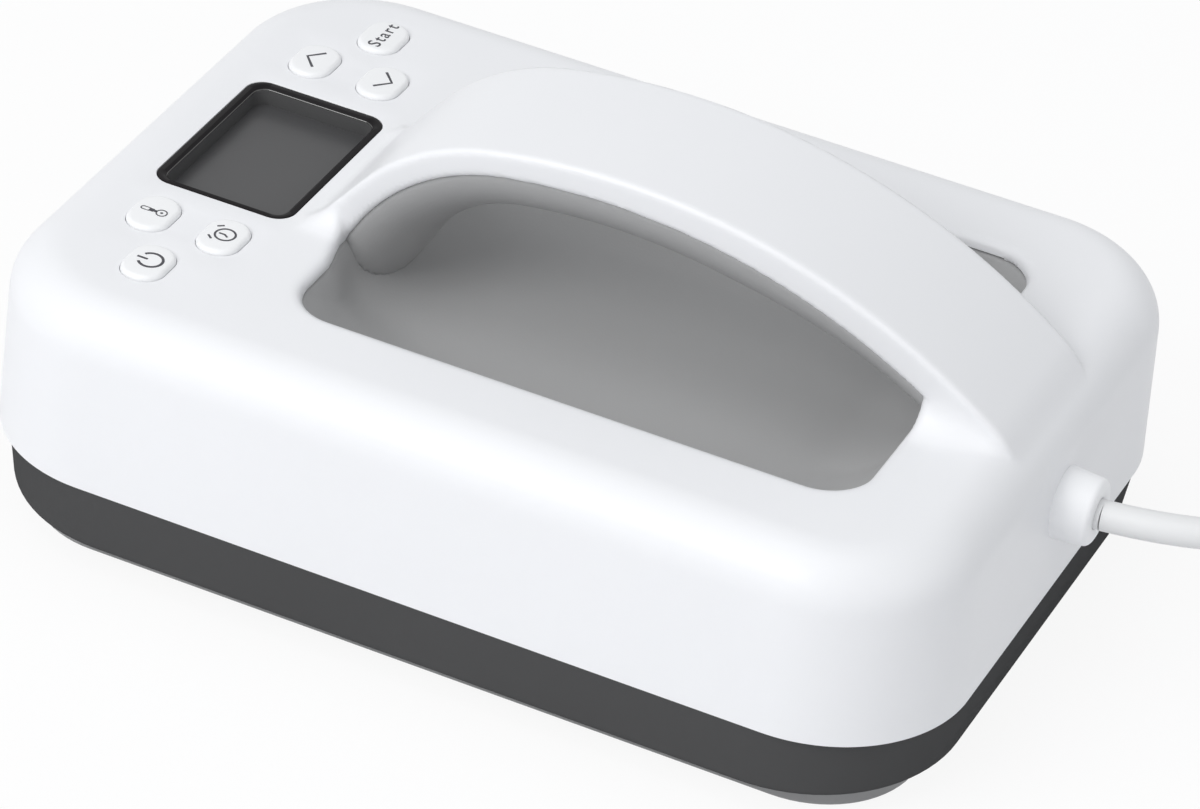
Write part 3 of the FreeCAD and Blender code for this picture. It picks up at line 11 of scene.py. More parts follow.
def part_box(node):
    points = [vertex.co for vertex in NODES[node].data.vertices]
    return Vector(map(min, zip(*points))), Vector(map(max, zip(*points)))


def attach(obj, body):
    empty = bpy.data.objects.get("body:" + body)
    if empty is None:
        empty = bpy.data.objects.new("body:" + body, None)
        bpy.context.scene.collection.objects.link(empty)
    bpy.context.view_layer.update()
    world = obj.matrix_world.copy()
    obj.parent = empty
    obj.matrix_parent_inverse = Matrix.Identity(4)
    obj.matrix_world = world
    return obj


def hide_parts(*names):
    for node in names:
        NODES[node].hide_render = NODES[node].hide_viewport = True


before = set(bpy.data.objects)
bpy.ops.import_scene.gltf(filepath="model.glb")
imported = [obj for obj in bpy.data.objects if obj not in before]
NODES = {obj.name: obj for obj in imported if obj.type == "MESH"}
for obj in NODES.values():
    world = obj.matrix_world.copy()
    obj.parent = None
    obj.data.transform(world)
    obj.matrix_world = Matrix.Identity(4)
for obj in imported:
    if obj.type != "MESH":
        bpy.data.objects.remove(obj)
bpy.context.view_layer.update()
MM = 0.001

# Sizes and places are in millimetres, in the frame's axes
# A pair named ACROSS or ALONG gives where an effect starts and where it is full

# Housing
SEAM = 19.6
TOP = 57.8
WALL = 2.5
ROOF = TOP - WALL
BODY_HALF = (100.0, 71.5)
BODY_CORNER = 28.9
TOP_ROUND = 10.0
DRAFT = math.tan(math.radians(2))
HOUSING_BOX = ((-102, -73.5, 17.5), (102.5, 73.5, 90.5))

# Handle
UPPER_ARCH = {"crown_x": 10.8, "crown_z": 88.3, "crown": 130.0,
              "shoulder": 44.6, "rise": 50.7, "root": 53.6}
LOWER_ARCH = {"crown_x": 8.7, "crown_z": 82.35, "crown": 127.2,
              "shoulder": 42.2, "rise": 60.1, "root": 44.7}
HANDLE_HALF = 18.0
HANDLE_EDGE = 0.9
HANDLE_LOWER_EDGE = 0.8
HANDLE_FOOT = ROOF + 0.4
END_ROUND = 9.0
END_FADE = 8.0

# Fillets between the handle and the body
LEAST_FILLET = 0.02
FRONT_FILLET = 1.5
CORNER_FILLET = 4.0
CORNER_BLEND = (-5, 3)
CORNER_ALONG = (60, 20)
DISPLAY_MARGIN = 1.3
FILLET_GROWTH = 1.6
SIDE_FILLETS_ALONG = ((5.0, (-50, -20)), (2.5, (40, 70)), (-5.0, (77, 94)))

# Hand well
WELL_X = 15.8
WELL_HALF = (58.1, 46.3)
WELL_CORNER = 9.5
WELL_FLOOR = 41.0
WELL_LEAN = 9.0
FLOOR_CORNER = 22.0
WELL_ROUND = 9.0
WELL_WALL = 2.0
WELL_EDGE = 0.4
RIM_ROUND = 2.0
FLANGE_REACH = 3.0
FLANGE_THICK = 1.5
WELL_BOX = ((-47, -51, 37), (80, 51, 57.5))

# End walls of the well, set back beside the handle's roots
FRONT_SETBACK = 2.0
FRONT_ACROSS = (30, 18)
FOOT_SETBACK = 4.0
FOOT_ACROSS = (44, 14)
FRONT_ALONG = (0, -38)
REAR_SETBACK = 0.8
REAR_ACROSS = (25, 18)
REAR_ALONG = (40, 60)

# Grip
GRIP_HALF = 17.25
GRIP_BELLY = 11.9
GRIP_THINNING = 0.3
THINNING_ALONG = (30, 74)
GRIP_IN_HANDLE = 0.3
GRIP_IN_WELL = 0.4
LEAST_SLOPE = 1e-9
GRIP_BOX = ((-46, -19.5, 38), (77, 19.5, 85))

# Display and buttons
DISPLAY_X = -69.95
DISPLAY_HALF = (14.85, 21.7)
DISPLAY_CORNER = 4.0
DISPLAY_GAP = 0.08
BUTTON_HALF = (4.45, 6.0)
BUTTON_CORNER = 4.2
BUTTON_GAP = 0.1
BUTTON_TOP = 58.8
BUTTONS = {
    "power": (-70.2, -48.6), "temperature": (-77.6, -33.1), "timer": (-62.5, -33.1),
    "up": (-77.6, 33.1), "down": (-62.5, 33.1), "start": (-70.2, 48.6),
}

# Roof panel in front of the handle, and the growth of its holes at each height
PANEL_X = (-88.0, -53.6)
PANEL_HALF_Y = 57.5
HOLE_LEVELS = ((0.16, TOP), (0.08, TOP - 0.02), (0.02, TOP - 0.08), (0.0, TOP - 0.16), (0.0, ROOF))

# Plug
PLUG_START = (281.6, -29.0, 9.0)
PLUG_HALF = (13.5, 9.0)
PLUG_CORNER = 5.0
PLUG_ROUND = 3.0
PLUG_MIDDLE = 43.0
PLUG_HALF_LENGTH = 13.0
PINCH = 1.6
PINCH_ALONG = (30, 37)
PINCH_OFF_ALONG = (51, 39)
PINCH_ACROSS = (6, 13)
RELIEF_HALF_LENGTH = 18.0
RELIEF_RADIUS = 4.2
RELIEF_TAPER = 0.075
RELIEF_EDGE = 1.0
RIB = 0.35
RIB_PITCH = 3.4
RIB_ALONG = (2, 5)
PLUG_BOX = ((265.6, -88, -2), (297.6, -26, 20))

# Size of the cells that the moulded forms are made with
CELL = 0.9
GRIP_CELL = CELL * 0.8
PLUG_CELL = 0.7

# Limits in metres: points that count as one, and the shortest edge
SAME_PLACE = 2e-6
SHORTEST = 1e-9


def rounded(a, b, radius):
    """Intersection of two distance fields with a round convex edge."""
    u, v = np.maximum(a + radius, 0), np.maximum(b + radius, 0)
    return np.minimum(-radius, np.maximum(a, b)) + np.sqrt(u * u + v * v)


def blended(a, b, radius):
    """Union of two distance fields with a fillet between them."""
    u, v = np.maximum(radius - a, 0), np.maximum(radius - b, 0)
    return np.maximum(radius, np.minimum(a, b)) - np.sqrt(u * u + v * v)


def rectangle(x, y, half_x, half_y, corner):
    """Distance to a rectangle with round corners."""
    u, v = np.abs(x) - half_x + corner, np.abs(y) - half_y + corner
    outside = np.hypot(np.maximum(u, 0), np.maximum(v, 0))
    return outside + np.minimum(np.maximum(u, v), 0) - corner


def ease(value, start, full):
    """Smooth step from 0 at start to 1 at full, whichever of the two is larger."""
    t = np.clip((value - start) / (full - start), 0, 1)
    return t * t * (3 - 2 * t)


def arch(x, z, crown_x, crown_z, crown, shoulder, rise, root):
    """Distance to an arch, negative below it: a long back, a shoulder and a straight rise in front."""
    slope = math.radians(rise)
    centre = np.array((crown_x, crown_z - crown))
    along = np.array((math.cos(slope), math.sin(slope)))
    outward = np.array((-along[1], along[0]))
    foot = np.array((-root, ROOF))
    level = outward @ (foot - centre) - shoulder
    hub = centre + outward * level + along * math.sqrt((crown - shoulder) ** 2 - level ** 2)
    knee = (hub - centre) / np.linalg.norm(hub - centre)
    back = np.hypot(x - centre[0], z - centre[1]) - crown
    front = np.hypot(x - hub[0], z - hub[1]) - shoulder
    straight = outward[0] * (x - foot[0]) + outward[1] * (z - foot[1])
    before = along[0] * (x - hub[0]) + along[1] * (z - hub[1]) < 0
    left = knee[0] * (z - centre[1]) - knee[1] * (x - centre[0]) > 0
    return np.where(left, np.where(before, straight, front), back)


def well_place(x, y, z):
    """X counted from the well's middle, with its end walls set back beside the handle's roots."""
    depth = ease(z, ROOF, WELL_FLOOR)
    front = FRONT_SETBACK * ease(np.abs(y), *FRONT_ACROSS)
    front = front + FOOT_SETBACK * depth * ease(np.abs(y), *FOOT_ACROSS)
    rear = REAR_SETBACK * ease(np.abs(y), *REAR_ACROSS) * ease(x, *REAR_ALONG)
    return x - WELL_X + front * ease(x, *FRONT_ALONG) - rear


def housing_field(x, y, z):
    """White housing and handle, hollow, open at the hand well, running on below the seam."""
    lean = (z - SEAM) * DRAFT
    outer = rectangle(x, y, BODY_HALF[0] - lean, BODY_HALF[1] - lean, BODY_CORNER - lean)
    body = rounded(outer, z - TOP, TOP_ROUND)
    end = x - BODY_HALF[0] + lean
    top, side = arch(x, z, **UPPER_ARCH), np.abs(y) - HANDLE_HALF
    bar = rounded(rounded(top, side, HANDLE_EDGE), end, END_ROUND)
    radius = FRONT_FILLET + CORNER_FILLET * ease(side - top, *CORNER_BLEND) * ease(x, *CORNER_ALONG)
    clear = rectangle(x - DISPLAY_X, y, *DISPLAY_HALF, DISPLAY_CORNER)
    room = FRONT_FILLET + FILLET_GROWTH * np.maximum(clear - DISPLAY_MARGIN, 0)
    fade = np.clip(-end / END_FADE, 0, 1)
    whole = blended(body, bar, np.maximum(np.minimum(radius, room) * fade, LEAST_FILLET))
    reach = sum(change * ease(x, *span) for change, span in SIDE_FILLETS_ALONG) + LEAST_FILLET
    flank = rounded(rounded(top, blended(body, side, reach), HANDLE_EDGE), end, END_ROUND)
    whole = np.minimum(whole, flank)
    mouth = rectangle(well_place(x, y, z), y, *WELL_HALF, WELL_CORNER)
    shell = rounded(whole, -mouth, RIM_ROUND)
    inner = rounded(outer + WALL, z - ROOF, TOP_ROUND - WALL)
    shell = np.maximum(shell, -inner)
    skin = rounded(bar, -arch(x, z, **LOWER_ARCH), HANDLE_LOWER_EDGE)
    skin = np.maximum(skin, HANDLE_FOOT - z)
    return np.minimum(shell, skin)


def dish(x, y, z, grow=0.0):
    """Space of the hand well, grown all round."""
    depth = np.maximum((ROOF - z) / (ROOF - WELL_FLOOR), 0)
    inset = WELL_LEAN * depth
    corner = WELL_CORNER + (FLOOR_CORNER - WELL_CORNER) * depth
    side = rectangle(well_place(x, y, z), y, WELL_HALF[0] - inset, WELL_HALF[1] - inset, corner)
    side = side * math.cos(math.atan(WELL_LEAN / (ROOF - WELL_FLOOR)))
    return rounded(side - grow, WELL_FLOOR - grow - z, WELL_ROUND + grow)


def well_field(x, y, z):
    """Grey dish with its flange."""
    flange = rectangle(well_place(x, y, z), y, WELL_HALF[0] + FLANGE_REACH, WELL_HALF[1] + FLANGE_REACH,
                       WELL_CORNER + FLANGE_REACH)
    flange = np.maximum(flange, ROOF - FLANGE_THICK - z)
    outside = np.minimum(dish(x, y, z, WELL_WALL), flange)
    return rounded(np.maximum(outside, z - ROOF), -dish(x, y, z), WELL_EDGE)


def grip_field(x, y, z):
    """Half an ellipse along the handle's lower edge, ended by the well."""
    below = arch(x, z, **LOWER_ARCH)
    belly = GRIP_BELLY * (1 - GRIP_THINNING * ease(x, *THINNING_ALONG))
    scaled = np.hypot(y / GRIP_HALF, below / belly)
    slope = np.hypot(y / GRIP_HALF ** 2, below / belly ** 2) + LEAST_SLOPE
    ellipse = scaled * (scaled - 1) / slope
    held = np.maximum(ellipse, below - GRIP_IN_HANDLE)
    return np.maximum(held, dish(x, y, z) - GRIP_IN_WELL)


def plug_field(x, y, z):
    """Moulded plug head with a ribbed, tapered relief, its cord end towards +Y."""
    along, level = PLUG_START[1] - y, z - PLUG_START[2]
    across, height = np.abs(x - PLUG_START[0]), np.abs(level)
    head = rectangle(across, height, *PLUG_HALF, PLUG_CORNER)
    head = rounded(head, np.abs(along - PLUG_MIDDLE) - PLUG_HALF_LENGTH, PLUG_ROUND)
    pinch = PINCH * ease(along, *PINCH_OFF_ALONG) * ease(along, *PINCH_ALONG)
    head = head + pinch * ease(across, *PINCH_ACROSS)
    ribs = RIB * np.cos(2 * math.pi * along / RIB_PITCH) * ease(along, *RIB_ALONG)
    relief = np.hypot(across, level) - RELIEF_RADIUS - along * RELIEF_TAPER - ribs
    relief = rounded(relief, np.abs(along - RELIEF_HALF_LENGTH) - RELIEF_HALF_LENGTH, RELIEF_EDGE)
    return blended(head, relief, PLUG_ROUND)


def pull(field, points, cell):
    """Move points onto a field's zero surface, along the field's slope."""
    step, least_slope, longest = 0.04, 0.05, 0.6 * cell
    for turn in range(4):
        slope = np.empty_like(points)
        for axis, shift in enumerate(np.eye(3) * step):
            slope[:, axis] = (field(*(points + shift).T) - field(*(points - shift).T)) / (2 * step)
        move = slope * (field(*points.T) / np.maximum((slope ** 2).sum(1), least_slope))[:, None]
        points = points - np.clip(move, -longest, longest)
    return points


def net(inside, number, counts):
    """Four-sided faces between the numbered cells, one for each grid edge that crosses the surface."""
    faces = []
    for axis in range(3):
        u, v = (axis + 1) % 3, (axis + 2) % 3
        near, far = [slice(None)] * 3, [slice(None)] * 3
        near[axis], far[axis] = slice(0, counts[axis]), slice(1, counts[axis] + 1)
        near[u] = far[u] = slice(1, counts[u])
        near[v] = far[v] = slice(1, counts[v])
        change = inside[tuple(near)].astype(np.int8) - inside[tuple(far)].astype(np.int8)
        for sign in (1, -1):
            found = np.argwhere(change == sign)
            found[:, u] += 1
            found[:, v] += 1
            around = []
            for du, dv in ((-1, -1), (0, -1), (0, 0), (-1, 0))[::sign]:
                moved = found.copy()
                moved[:, u] += du
                moved[:, v] += dv
                around.append(number[tuple(moved.T)])
            faces.append(np.stack(around, axis=1))
    faces = np.concatenate(faces)
    return faces[(faces >= 0).all(1)]


def polygonise(field, low, high, cell):
    """Points and four-sided faces of a field's zero surface inside a box."""
    counts = [max(2, math.ceil((b - a) / cell)) for a, b in zip(low, high)]
    axes = [low[i] + cell * np.arange(counts[i] + 1) for i in range(3)]
    values = np.empty([len(axis) for axis in axes], np.float32)
    y, z = np.meshgrid(axes[1], axes[2], indexing="ij")
    for index, x in enumerate(axes[0]):
        values[index] = field(np.full_like(y, x), y, z)
    inside = values < 0
    total = np.zeros(counts, np.int8)
    corners = [(i, j, k) for i in (0, 1) for j in (0, 1) for k in (0, 1)]
    for i, j, k in corners:
        total += inside[i:counts[0] + i, j:counts[1] + j, k:counts[2] + k]
    cells = np.argwhere((total > 0) & (total < len(corners)))
    number = np.full(counts, -1, np.int64)
    number[tuple(cells.T)] = np.arange(len(cells))
    gathered, hits = np.zeros((len(cells), 3)), np.zeros(len(cells))
    for axis in range(3):
        for corner in corners:
            if corner[axis]:
                continue
            first = cells + corner
            second = first.copy()
            second[:, axis] += 1
            a, b = values[tuple(first.T)], values[tuple(second.T)]
            cross = (a < 0) != (b < 0)
            share = np.where(cross, a / np.where(a == b, 1, a - b), 0)
            place = first.astype(float)
            place[:, axis] += share
            gathered += place * cross[:, None]
            hits += cross
    points = np.array(low) + cell * gathered / hits[:, None]
    return pull(field, points, cell), net(inside, number, counts)


def add_object(name, data):
    """Object of the scene, from its data."""
    thing = bpy.data.objects.new(name, data)
    bpy.context.scene.collection.objects.link(thing)
    return thing


def add_mesh(name, points, faces):
    """Smooth-shaded object from points in millimetres."""
    mesh = bpy.data.meshes.new(name)
    mesh.from_pydata([tuple(point) for point in np.asarray(points, float) * MM], [],
                     [tuple(map(int, face)) for face in faces])
    mesh.validate()
    mesh.polygons.foreach_set("use_smooth", [True] * len(mesh.polygons))
    mesh.update()
    return add_object(name, mesh)


def sharpen(thing, degrees):
    """Keep edges steeper than an angle crisp."""
    thing.data.set_sharp_from_angle(angle=math.radians(degrees))


def loop(x, y, half_x, half_y, corner, z, steps=12):
    """Closed ring of a rectangle with round corners, counter-clockwise from above."""
    ring = []
    corner = min(corner, half_x, half_y)
    for turn in range(4):
        side_x = 1 if turn in (0, 3) else -1
        side_y = 1 if turn in (0, 1) else -1
        for step in range(steps + 1):
            angle = math.pi / 2 * (turn + step / steps)
            ring.append((x + side_x * (half_x - corner) + corner * math.cos(angle),
                         y + side_y * (half_y - corner) + corner * math.sin(angle), z))
    return ring


def mend(thing):
    """Join points that coincide and turn all faces outward."""
    work = bmesh.new()
    work.from_mesh(thing.data)
    bmesh.ops.remove_doubles(work, verts=work.verts, dist=SAME_PLACE / 2)
    bmesh.ops.recalc_face_normals(work, faces=work.faces)
    work.to_mesh(thing.data)
    work.free()


def loft(name, rings, closed=False, caps=False):
    """Skin over rings of equally many points."""
    count = len(rings[0])
    points = [point for ring in rings for point in ring]
    faces = []
    spans = len(rings) if closed else len(rings) - 1
    for index in range(spans):
        low, high = index * count, (index + 1) % len(rings) * count
        for step in range(count):
            after = (step + 1) % count
            faces.append((low + step, low + after, high + after, high + step))
    if caps:
        for ring, start, way in ((rings[0], 0, -1), (rings[-1], (len(rings) - 1) * count, 1)):
            points.append(tuple(np.mean(ring, axis=0)))
            hub = len(points) - 1
            for step in range(count):
                after = (step + 1) % count
                faces.append((start + step, start + after, hub)[::way])
    thing = add_mesh(name, points, faces)
    mend(thing)
    return thing


def turn_profile(name, profile, origin, axis, steps=96):
    """Turned piece: profile gives (distance along the axis, radius) pairs."""
    axis = Vector(axis).normalized()
    side = axis.orthogonal().normalized()
    third = axis.cross(side)
    rings = []
    for along, radius in profile:
        hub = Vector(origin) + axis * along
        rings.append([tuple(hub + (side * math.cos(a) + third * math.sin(a)) * radius)
                      for a in (2 * math.pi * step / steps for step in range(steps))])
    return loft(name, rings, closed=True)


def at_level(part, z):
    """Whether all points of a face or an edge lie at one height."""
    return all(abs(vertex.co.z - z * MM) < SAME_PLACE for vertex in part.verts)


def in_panel(face):
    """Whether a face lies in front of the handle, inside the roof's flat part."""
    return all(PANEL_X[0] * MM < vertex.co.x < PANEL_X[1] * MM and abs(vertex.co.y) < PANEL_HALF_Y * MM
               for vertex in face.verts)


def apart(first, second):
    """Whether two points are far enough apart for an edge."""
    return (first.co - second.co).length > SHORTEST


def open_edges(work, z):
    """Open edges that lie at one height."""
    return [edge for edge in work.edges if edge.is_boundary and at_level(edge, z)]


def fill(work, edges, way):
    """Flat panel between edges, facing up for 1 and down for -1."""
    bmesh.ops.triangle_fill(work, use_beauty=True, use_dissolve=False, edges=edges, normal=(0, 0, way))


def hole_ring(work, hole, grow, z):
    """Points round a hole at one height, grown all round."""
    x, y, half_x, half_y, corner = hole
    return [work.verts.new(Vector(point) * MM)
            for point in loop(x, y, half_x + grow, half_y + grow, corner + grow, z)]


def cut_panel(work, holes, grow, z, way):
    """Replace the net in front of the handle at one height by a panel with holes."""
    gone = [face for face in work.faces if at_level(face, z) and in_panel(face)]
    bmesh.ops.delete(work, geom=gone, context="FACES")
    border = open_edges(work, z)
    for hole in holes:
        ring = hole_ring(work, hole, grow, z)
        border += [work.edges.new(pair) for pair in zip(ring[-1:] + ring[:-1], ring) if apart(*pair)]
    fill(work, border, way)


def line_hole(work, hole):
    """Wall of a hole, with its upper edge rounded."""
    rings = [hole_ring(work, hole, grow, z) for grow, z in HOLE_LEVELS]
    for upper, lower in zip(rings, rings[1:]):
        for i in range(len(upper)):
            if apart(upper[i - 1], upper[i]):
                work.faces.new((upper[i - 1], upper[i], lower[i], lower[i - 1]))


def cut_housing(thing, holes):
    """Cut the housing off at the seam, and give the roof in front of the handle its holes."""
    work = bmesh.new()
    work.from_mesh(thing.data)
    bmesh.ops.bisect_plane(work, geom=work.verts[:] + work.edges[:] + work.faces[:],
                           plane_co=(0, 0, SEAM * MM), plane_no=(0, 0, -1), clear_outer=True)
    fill(work, open_edges(work, SEAM), -1)
    cut_panel(work, holes, *HOLE_LEVELS[0], 1)
    cut_panel(work, holes, *HOLE_LEVELS[-1], -1)
    for hole in holes:
        line_hole(work, hole)
    bmesh.ops.remove_doubles(work, verts=work.verts, dist=SAME_PLACE)
    bmesh.ops.recalc_face_normals(work, faces=work.faces)
    for face in work.faces:
        face.smooth = True
    work.to_mesh(thing.data)
    work.free()


# Materials

def material(name, colour, rough=0.4, metal=0.0, grain=900.0, bump=0.05, vary=0.02, spread=0.05,
             coat=0.0, specular=0.5, mottle=25.0):
    """Moulded or coated surface: faint mottling, uneven gloss and a fine grain."""
    made = bpy.data.materials.new(name)
    made.use_nodes = True
    tree = made.node_tree
    shader = tree.nodes["Principled BSDF"]
    shader.inputs["Metallic"].default_value = metal
    shader.inputs["Specular IOR Level"].default_value = specular
    shader.inputs["Coat Weight"].default_value = coat
    shader.inputs["Coat Roughness"].default_value = 0.12
    place = tree.nodes.new("ShaderNodeTexCoord")

    def noise(scale, detail):
        node = tree.nodes.new("ShaderNodeTexNoise")
        node.inputs["Scale"].default_value = scale
        node.inputs["Detail"].default_value = detail
        tree.links.new(place.outputs["Object"], node.inputs["Vector"])
        return node.outputs["Fac"]

    ramp = tree.nodes.new("ShaderNodeValToRGB")
    ramp.color_ramp.elements[0].position = 0.3
    ramp.color_ramp.elements[1].position = 0.7
    ramp.color_ramp.elements[0].color = [max(0, c * (1 - vary)) for c in colour] + [1]
    ramp.color_ramp.elements[1].color = [min(1, c * (1 + vary)) for c in colour] + [1]
    tree.links.new(noise(mottle, 4), ramp.inputs["Fac"])
    tree.links.new(ramp.outputs["Color"], shader.inputs["Base Color"])
    gloss = tree.nodes.new("ShaderNodeMapRange")
    gloss.inputs["To Min"].default_value = rough - spread
    gloss.inputs["To Max"].default_value = rough + spread
    tree.links.new(noise(mottle * 6, 3), gloss.inputs["Value"])
    tree.links.new(gloss.outputs["Result"], shader.inputs["Roughness"])
    relief = tree.nodes.new("ShaderNodeBump")
    relief.inputs["Strength"].default_value = bump
    relief.inputs["Distance"].default_value = 0.0002
    tree.links.new(noise(grain, 2), relief.inputs["Height"])
    tree.links.new(relief.outputs["Normal"], shader.inputs["Normal"])
    return made


WHITE = material("white_plastic", (0.86, 0.865, 0.885), 0.42, bump=0.03, vary=0.006)
GREY = material("grey_plastic", (0.41, 0.41, 0.412), 0.55, bump=0.12, grain=1600, specular=0.35)
DARK = material("dark_plastic", (0.08, 0.08, 0.081), 0.6, bump=0.1, grain=1500, specular=0.0)
BLACK = material("black_rim", (0.011, 0.010, 0.011), 0.4, bump=0.02, specular=0.08)
RECESS = material("recess_wall", (0.09, 0.09, 0.091), 0.6, bump=0.02, specular=0.1)
BRIGHT = material("polished_edge", (0.02, 0.02, 0.02), 0.16, bump=0.0, specular=0.9)
WINDOW = material("smoked_window", (0.078, 0.078, 0.08), 0.3, bump=0.0, vary=0.01, specular=0.25)
BUTTON = material("button_plastic", (0.90, 0.905, 0.915), 0.38, bump=0.03, vary=0.006)
INK = material("printed_ink", (0.045, 0.045, 0.055), 0.5, bump=0.0)
PLATE = material("plate_coating", (0.33, 0.33, 0.335), 0.5, metal=0.0, bump=0.25, grain=2600, vary=0.08)
CORD = material("cord_cover", (0.8, 0.803, 0.808), 0.45, bump=0.05, vary=0.01)
COLLAR = material("soft_collar", (0.95, 0.955, 0.97), 0.45, bump=0.04, vary=0.01)
STEEL = material("plated_steel", (0.6, 0.6, 0.61), 0.3, metal=1.0, bump=0.05)
BRASS = material("brass_plate", (0.75, 0.6, 0.32), 0.25, metal=1.0, bump=0.05)
BOARD = material("board_lacquer", (0.04, 0.16, 0.07), 0.35, bump=0.1)
FIBRE = material("fibre_pad", (0.72, 0.70, 0.64), 0.9, bump=0.6, grain=500)
CERAMIC = material("pale_ceramic", (0.80, 0.78, 0.72), 0.5)
IRON = material("laminated_core", (0.12, 0.11, 0.10), 0.5, bump=0.3)
CASE = material("component_case", (0.05, 0.07, 0.11), 0.4)
RIBBON = material("ribbon_cover", (0.45, 0.46, 0.48), 0.5)


def dress(thing, surface):
    """One material on an object."""
    thing.data.materials.clear()
    thing.data.materials.append(surface)


SURFACES = [
    (PLATE, ["heat_plate"]), (WINDOW, ["display_window"]),
    (STEEL, ["heating_element", "heat_shield", "plate_screws", "shield_screws", "board_screws",
             "power_screws", "clamp_screws", "line_fuse", "thermal_fuse", "temperature_sensor"]),
    (BRASS, ["plug_blades", "board_pillars"]), (BOARD, ["control_board", "power_board"]),
    (FIBRE, ["insulation_pad"]), (CERAMIC, ["plate_spacers", "cord_clamp"]),
    (IRON, ["transformer", "sounder", "display_module", "switch_housings"]),
    (CASE, ["relay", "capacitor", "terminal_block"] + ["plunger_" + name for name in BUTTONS]),
    (CORD, ["cord_inner"]), (RIBBON, ["ribbon_cable", "mains_wires", "element_wires"]),
]
for surface, names in SURFACES:
    for name in names:
        node = NODES[name]
        if node.material_slots:
            for held in node.material_slots:
                held.material = surface
        else:
            node.data.materials.append(surface)


def piece(thing, surface, body, slot, *nodes):
    """Finish a piece: its material, body and the nodes it stands for. The slot is not used."""
    dress(thing, surface)
    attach(thing, body)
    if nodes:
        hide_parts(*nodes)


# Camera

CAMERA_PLACE = (0.363834, -0.889773, 0.681326)
CAMERA_RIGHT = (0.899815, 0.427567, 0.086714)
CAMERA_UP = (-0.307699, 0.481064, 0.820913)
CAMERA_BACK = (0.30928, -0.765352, 0.564431)
SENSOR_WIDTH = 36
FOCAL_LENGTH = 180.28
FARTHEST = 20

camera_data = bpy.data.cameras.new("camera")
camera = add_object("camera", camera_data)
turned = Matrix((CAMERA_RIGHT, CAMERA_UP, CAMERA_BACK)).transposed().to_4x4()
camera.matrix_world = Matrix.Translation(CAMERA_PLACE) @ turned
camera_data.sensor_width = SENSOR_WIDTH
camera_data.lens = FOCAL_LENGTH
camera_data.clip_end = FARTHEST
bpy.context.scene.camera = camera

# Cord

CORD_BORE = 6.0
LEAD_ROUTE = [
    (107.5, 0.0, 38.6), (117.0, 1.0, 38.8), (133.0, 6.6, 39.2), (148.0, 12.2, 33.4),
    (162.0, 17.6, 23.0), (176.0, 23.4, 12.4), (190.0, 26.6, 5.0), (205.0, 26.6, 3.8),
]
TAIL_ROUTE = [
    (226.0, 26.6, 10.4), (240.0, 25.6, 9.2), (254.0, 21.8, 6.4), (266.0, 15.0, 4.2),
    (274.8, 5.2, 3.8), (280.0, -6.6, 5.8), (281.6, -19.0, 9.0), (281.6, -29.0, 9.0),
]
COIL_START = (216.0, 26.6, 3.8)
COIL_PITCH = 6.6
COIL_MIDDLE = 36.0
COIL_TURNS = 7.0
COIL_STEPS = 16

# Share of a turn, each side of the middle one, in which the winding changes layer
LAYER_CHANGE = 0.25

# A smooth line through a ring of control points lies inside them, at this share of their radius
CUT_INSIDE = 0.75 + 0.25 * math.cos(2 * math.pi / COIL_STEPS)


def coil_radius(turn):
    """Radius of the winding: inward over the lower layer, then outward over the upper one."""
    inner = COIL_MIDDLE - COIL_PITCH * COIL_TURNS / 4
    away = abs(turn - COIL_TURNS / 2)
    if away < LAYER_CHANGE:
        away = LAYER_CHANGE / 2 + away ** 2 / (2 * LAYER_CHANGE)
    return inner + COIL_PITCH * away


def coil_route():
    """Control points of the turns, set out so that the smooth line has the coil's radius."""
    centre = (COIL_START[0], COIL_START[1] - coil_radius(0))
    route = []
    for index in range(round(COIL_TURNS * COIL_STEPS) + 1):
        turn = index / COIL_STEPS
        middle = COIL_TURNS / 2
        rise = ease(turn, middle - LAYER_CHANGE, middle + LAYER_CHANGE)
        angle = math.pi / 2 - 2 * math.pi * turn
        reach = coil_radius(turn) / CUT_INSIDE
        route.append((centre[0] + reach * math.cos(angle), centre[1] + reach * math.sin(angle),
                      COIL_START[2] + COIL_PITCH * rise))
    return route


route = LEAD_ROUTE + coil_route() + TAIL_ROUTE
curve = bpy.data.curves.new("mains_cord", "CURVE")
curve.dimensions = "3D"
spline = curve.splines.new("NURBS")
spline.points.add(len(route) - 1)
for point, place in zip(spline.points, route):
    point.co = (place[0] * MM, place[1] * MM, place[2] * MM, 1)
spline.order_u = 3
spline.use_endpoint_u = True
spline.resolution_u = 8
curve.bevel_depth = CORD_BORE / 2 * MM
curve.bevel_resolution = 8
curve.use_fill_caps = True
cord = add_object("mains_cord", curve)
piece(cord, CORD, "press", "white_cord", "cord_lead", "cord_coil", "cord_tail")

# Housing, hand well and grip

holes = [(DISPLAY_X, 0.0, DISPLAY_HALF[0] + DISPLAY_GAP, DISPLAY_HALF[1] + DISPLAY_GAP,
          DISPLAY_CORNER + DISPLAY_GAP)]
for x, y in BUTTONS.values():
    holes.append((x, y, BUTTON_HALF[0] + BUTTON_GAP, BUTTON_HALF[1] + BUTTON_GAP,
                  BUTTON_CORNER + BUTTON_GAP))

housing = add_mesh("housing", *polygonise(housing_field, *HOUSING_BOX, CELL))
cut_housing(housing, holes)
sharpen(housing, 50)
piece(housing, WHITE, "press", "white_housing", "top_shell")

well = add_mesh("well_dish", *polygonise(well_field, *WELL_BOX, CELL))
sharpen(well, 60)
piece(well, GREY, "press", "grey_grip", "well_panel")

grip = add_mesh("grip", *polygonise(grip_field, *GRIP_BOX, GRIP_CELL))
sharpen(grip, 60)
piece(grip, GREY, "press", "grey_grip", "handle_grip")

# Dark lower ring, its outer skin pushed out to the housing's and a little lower at the foot

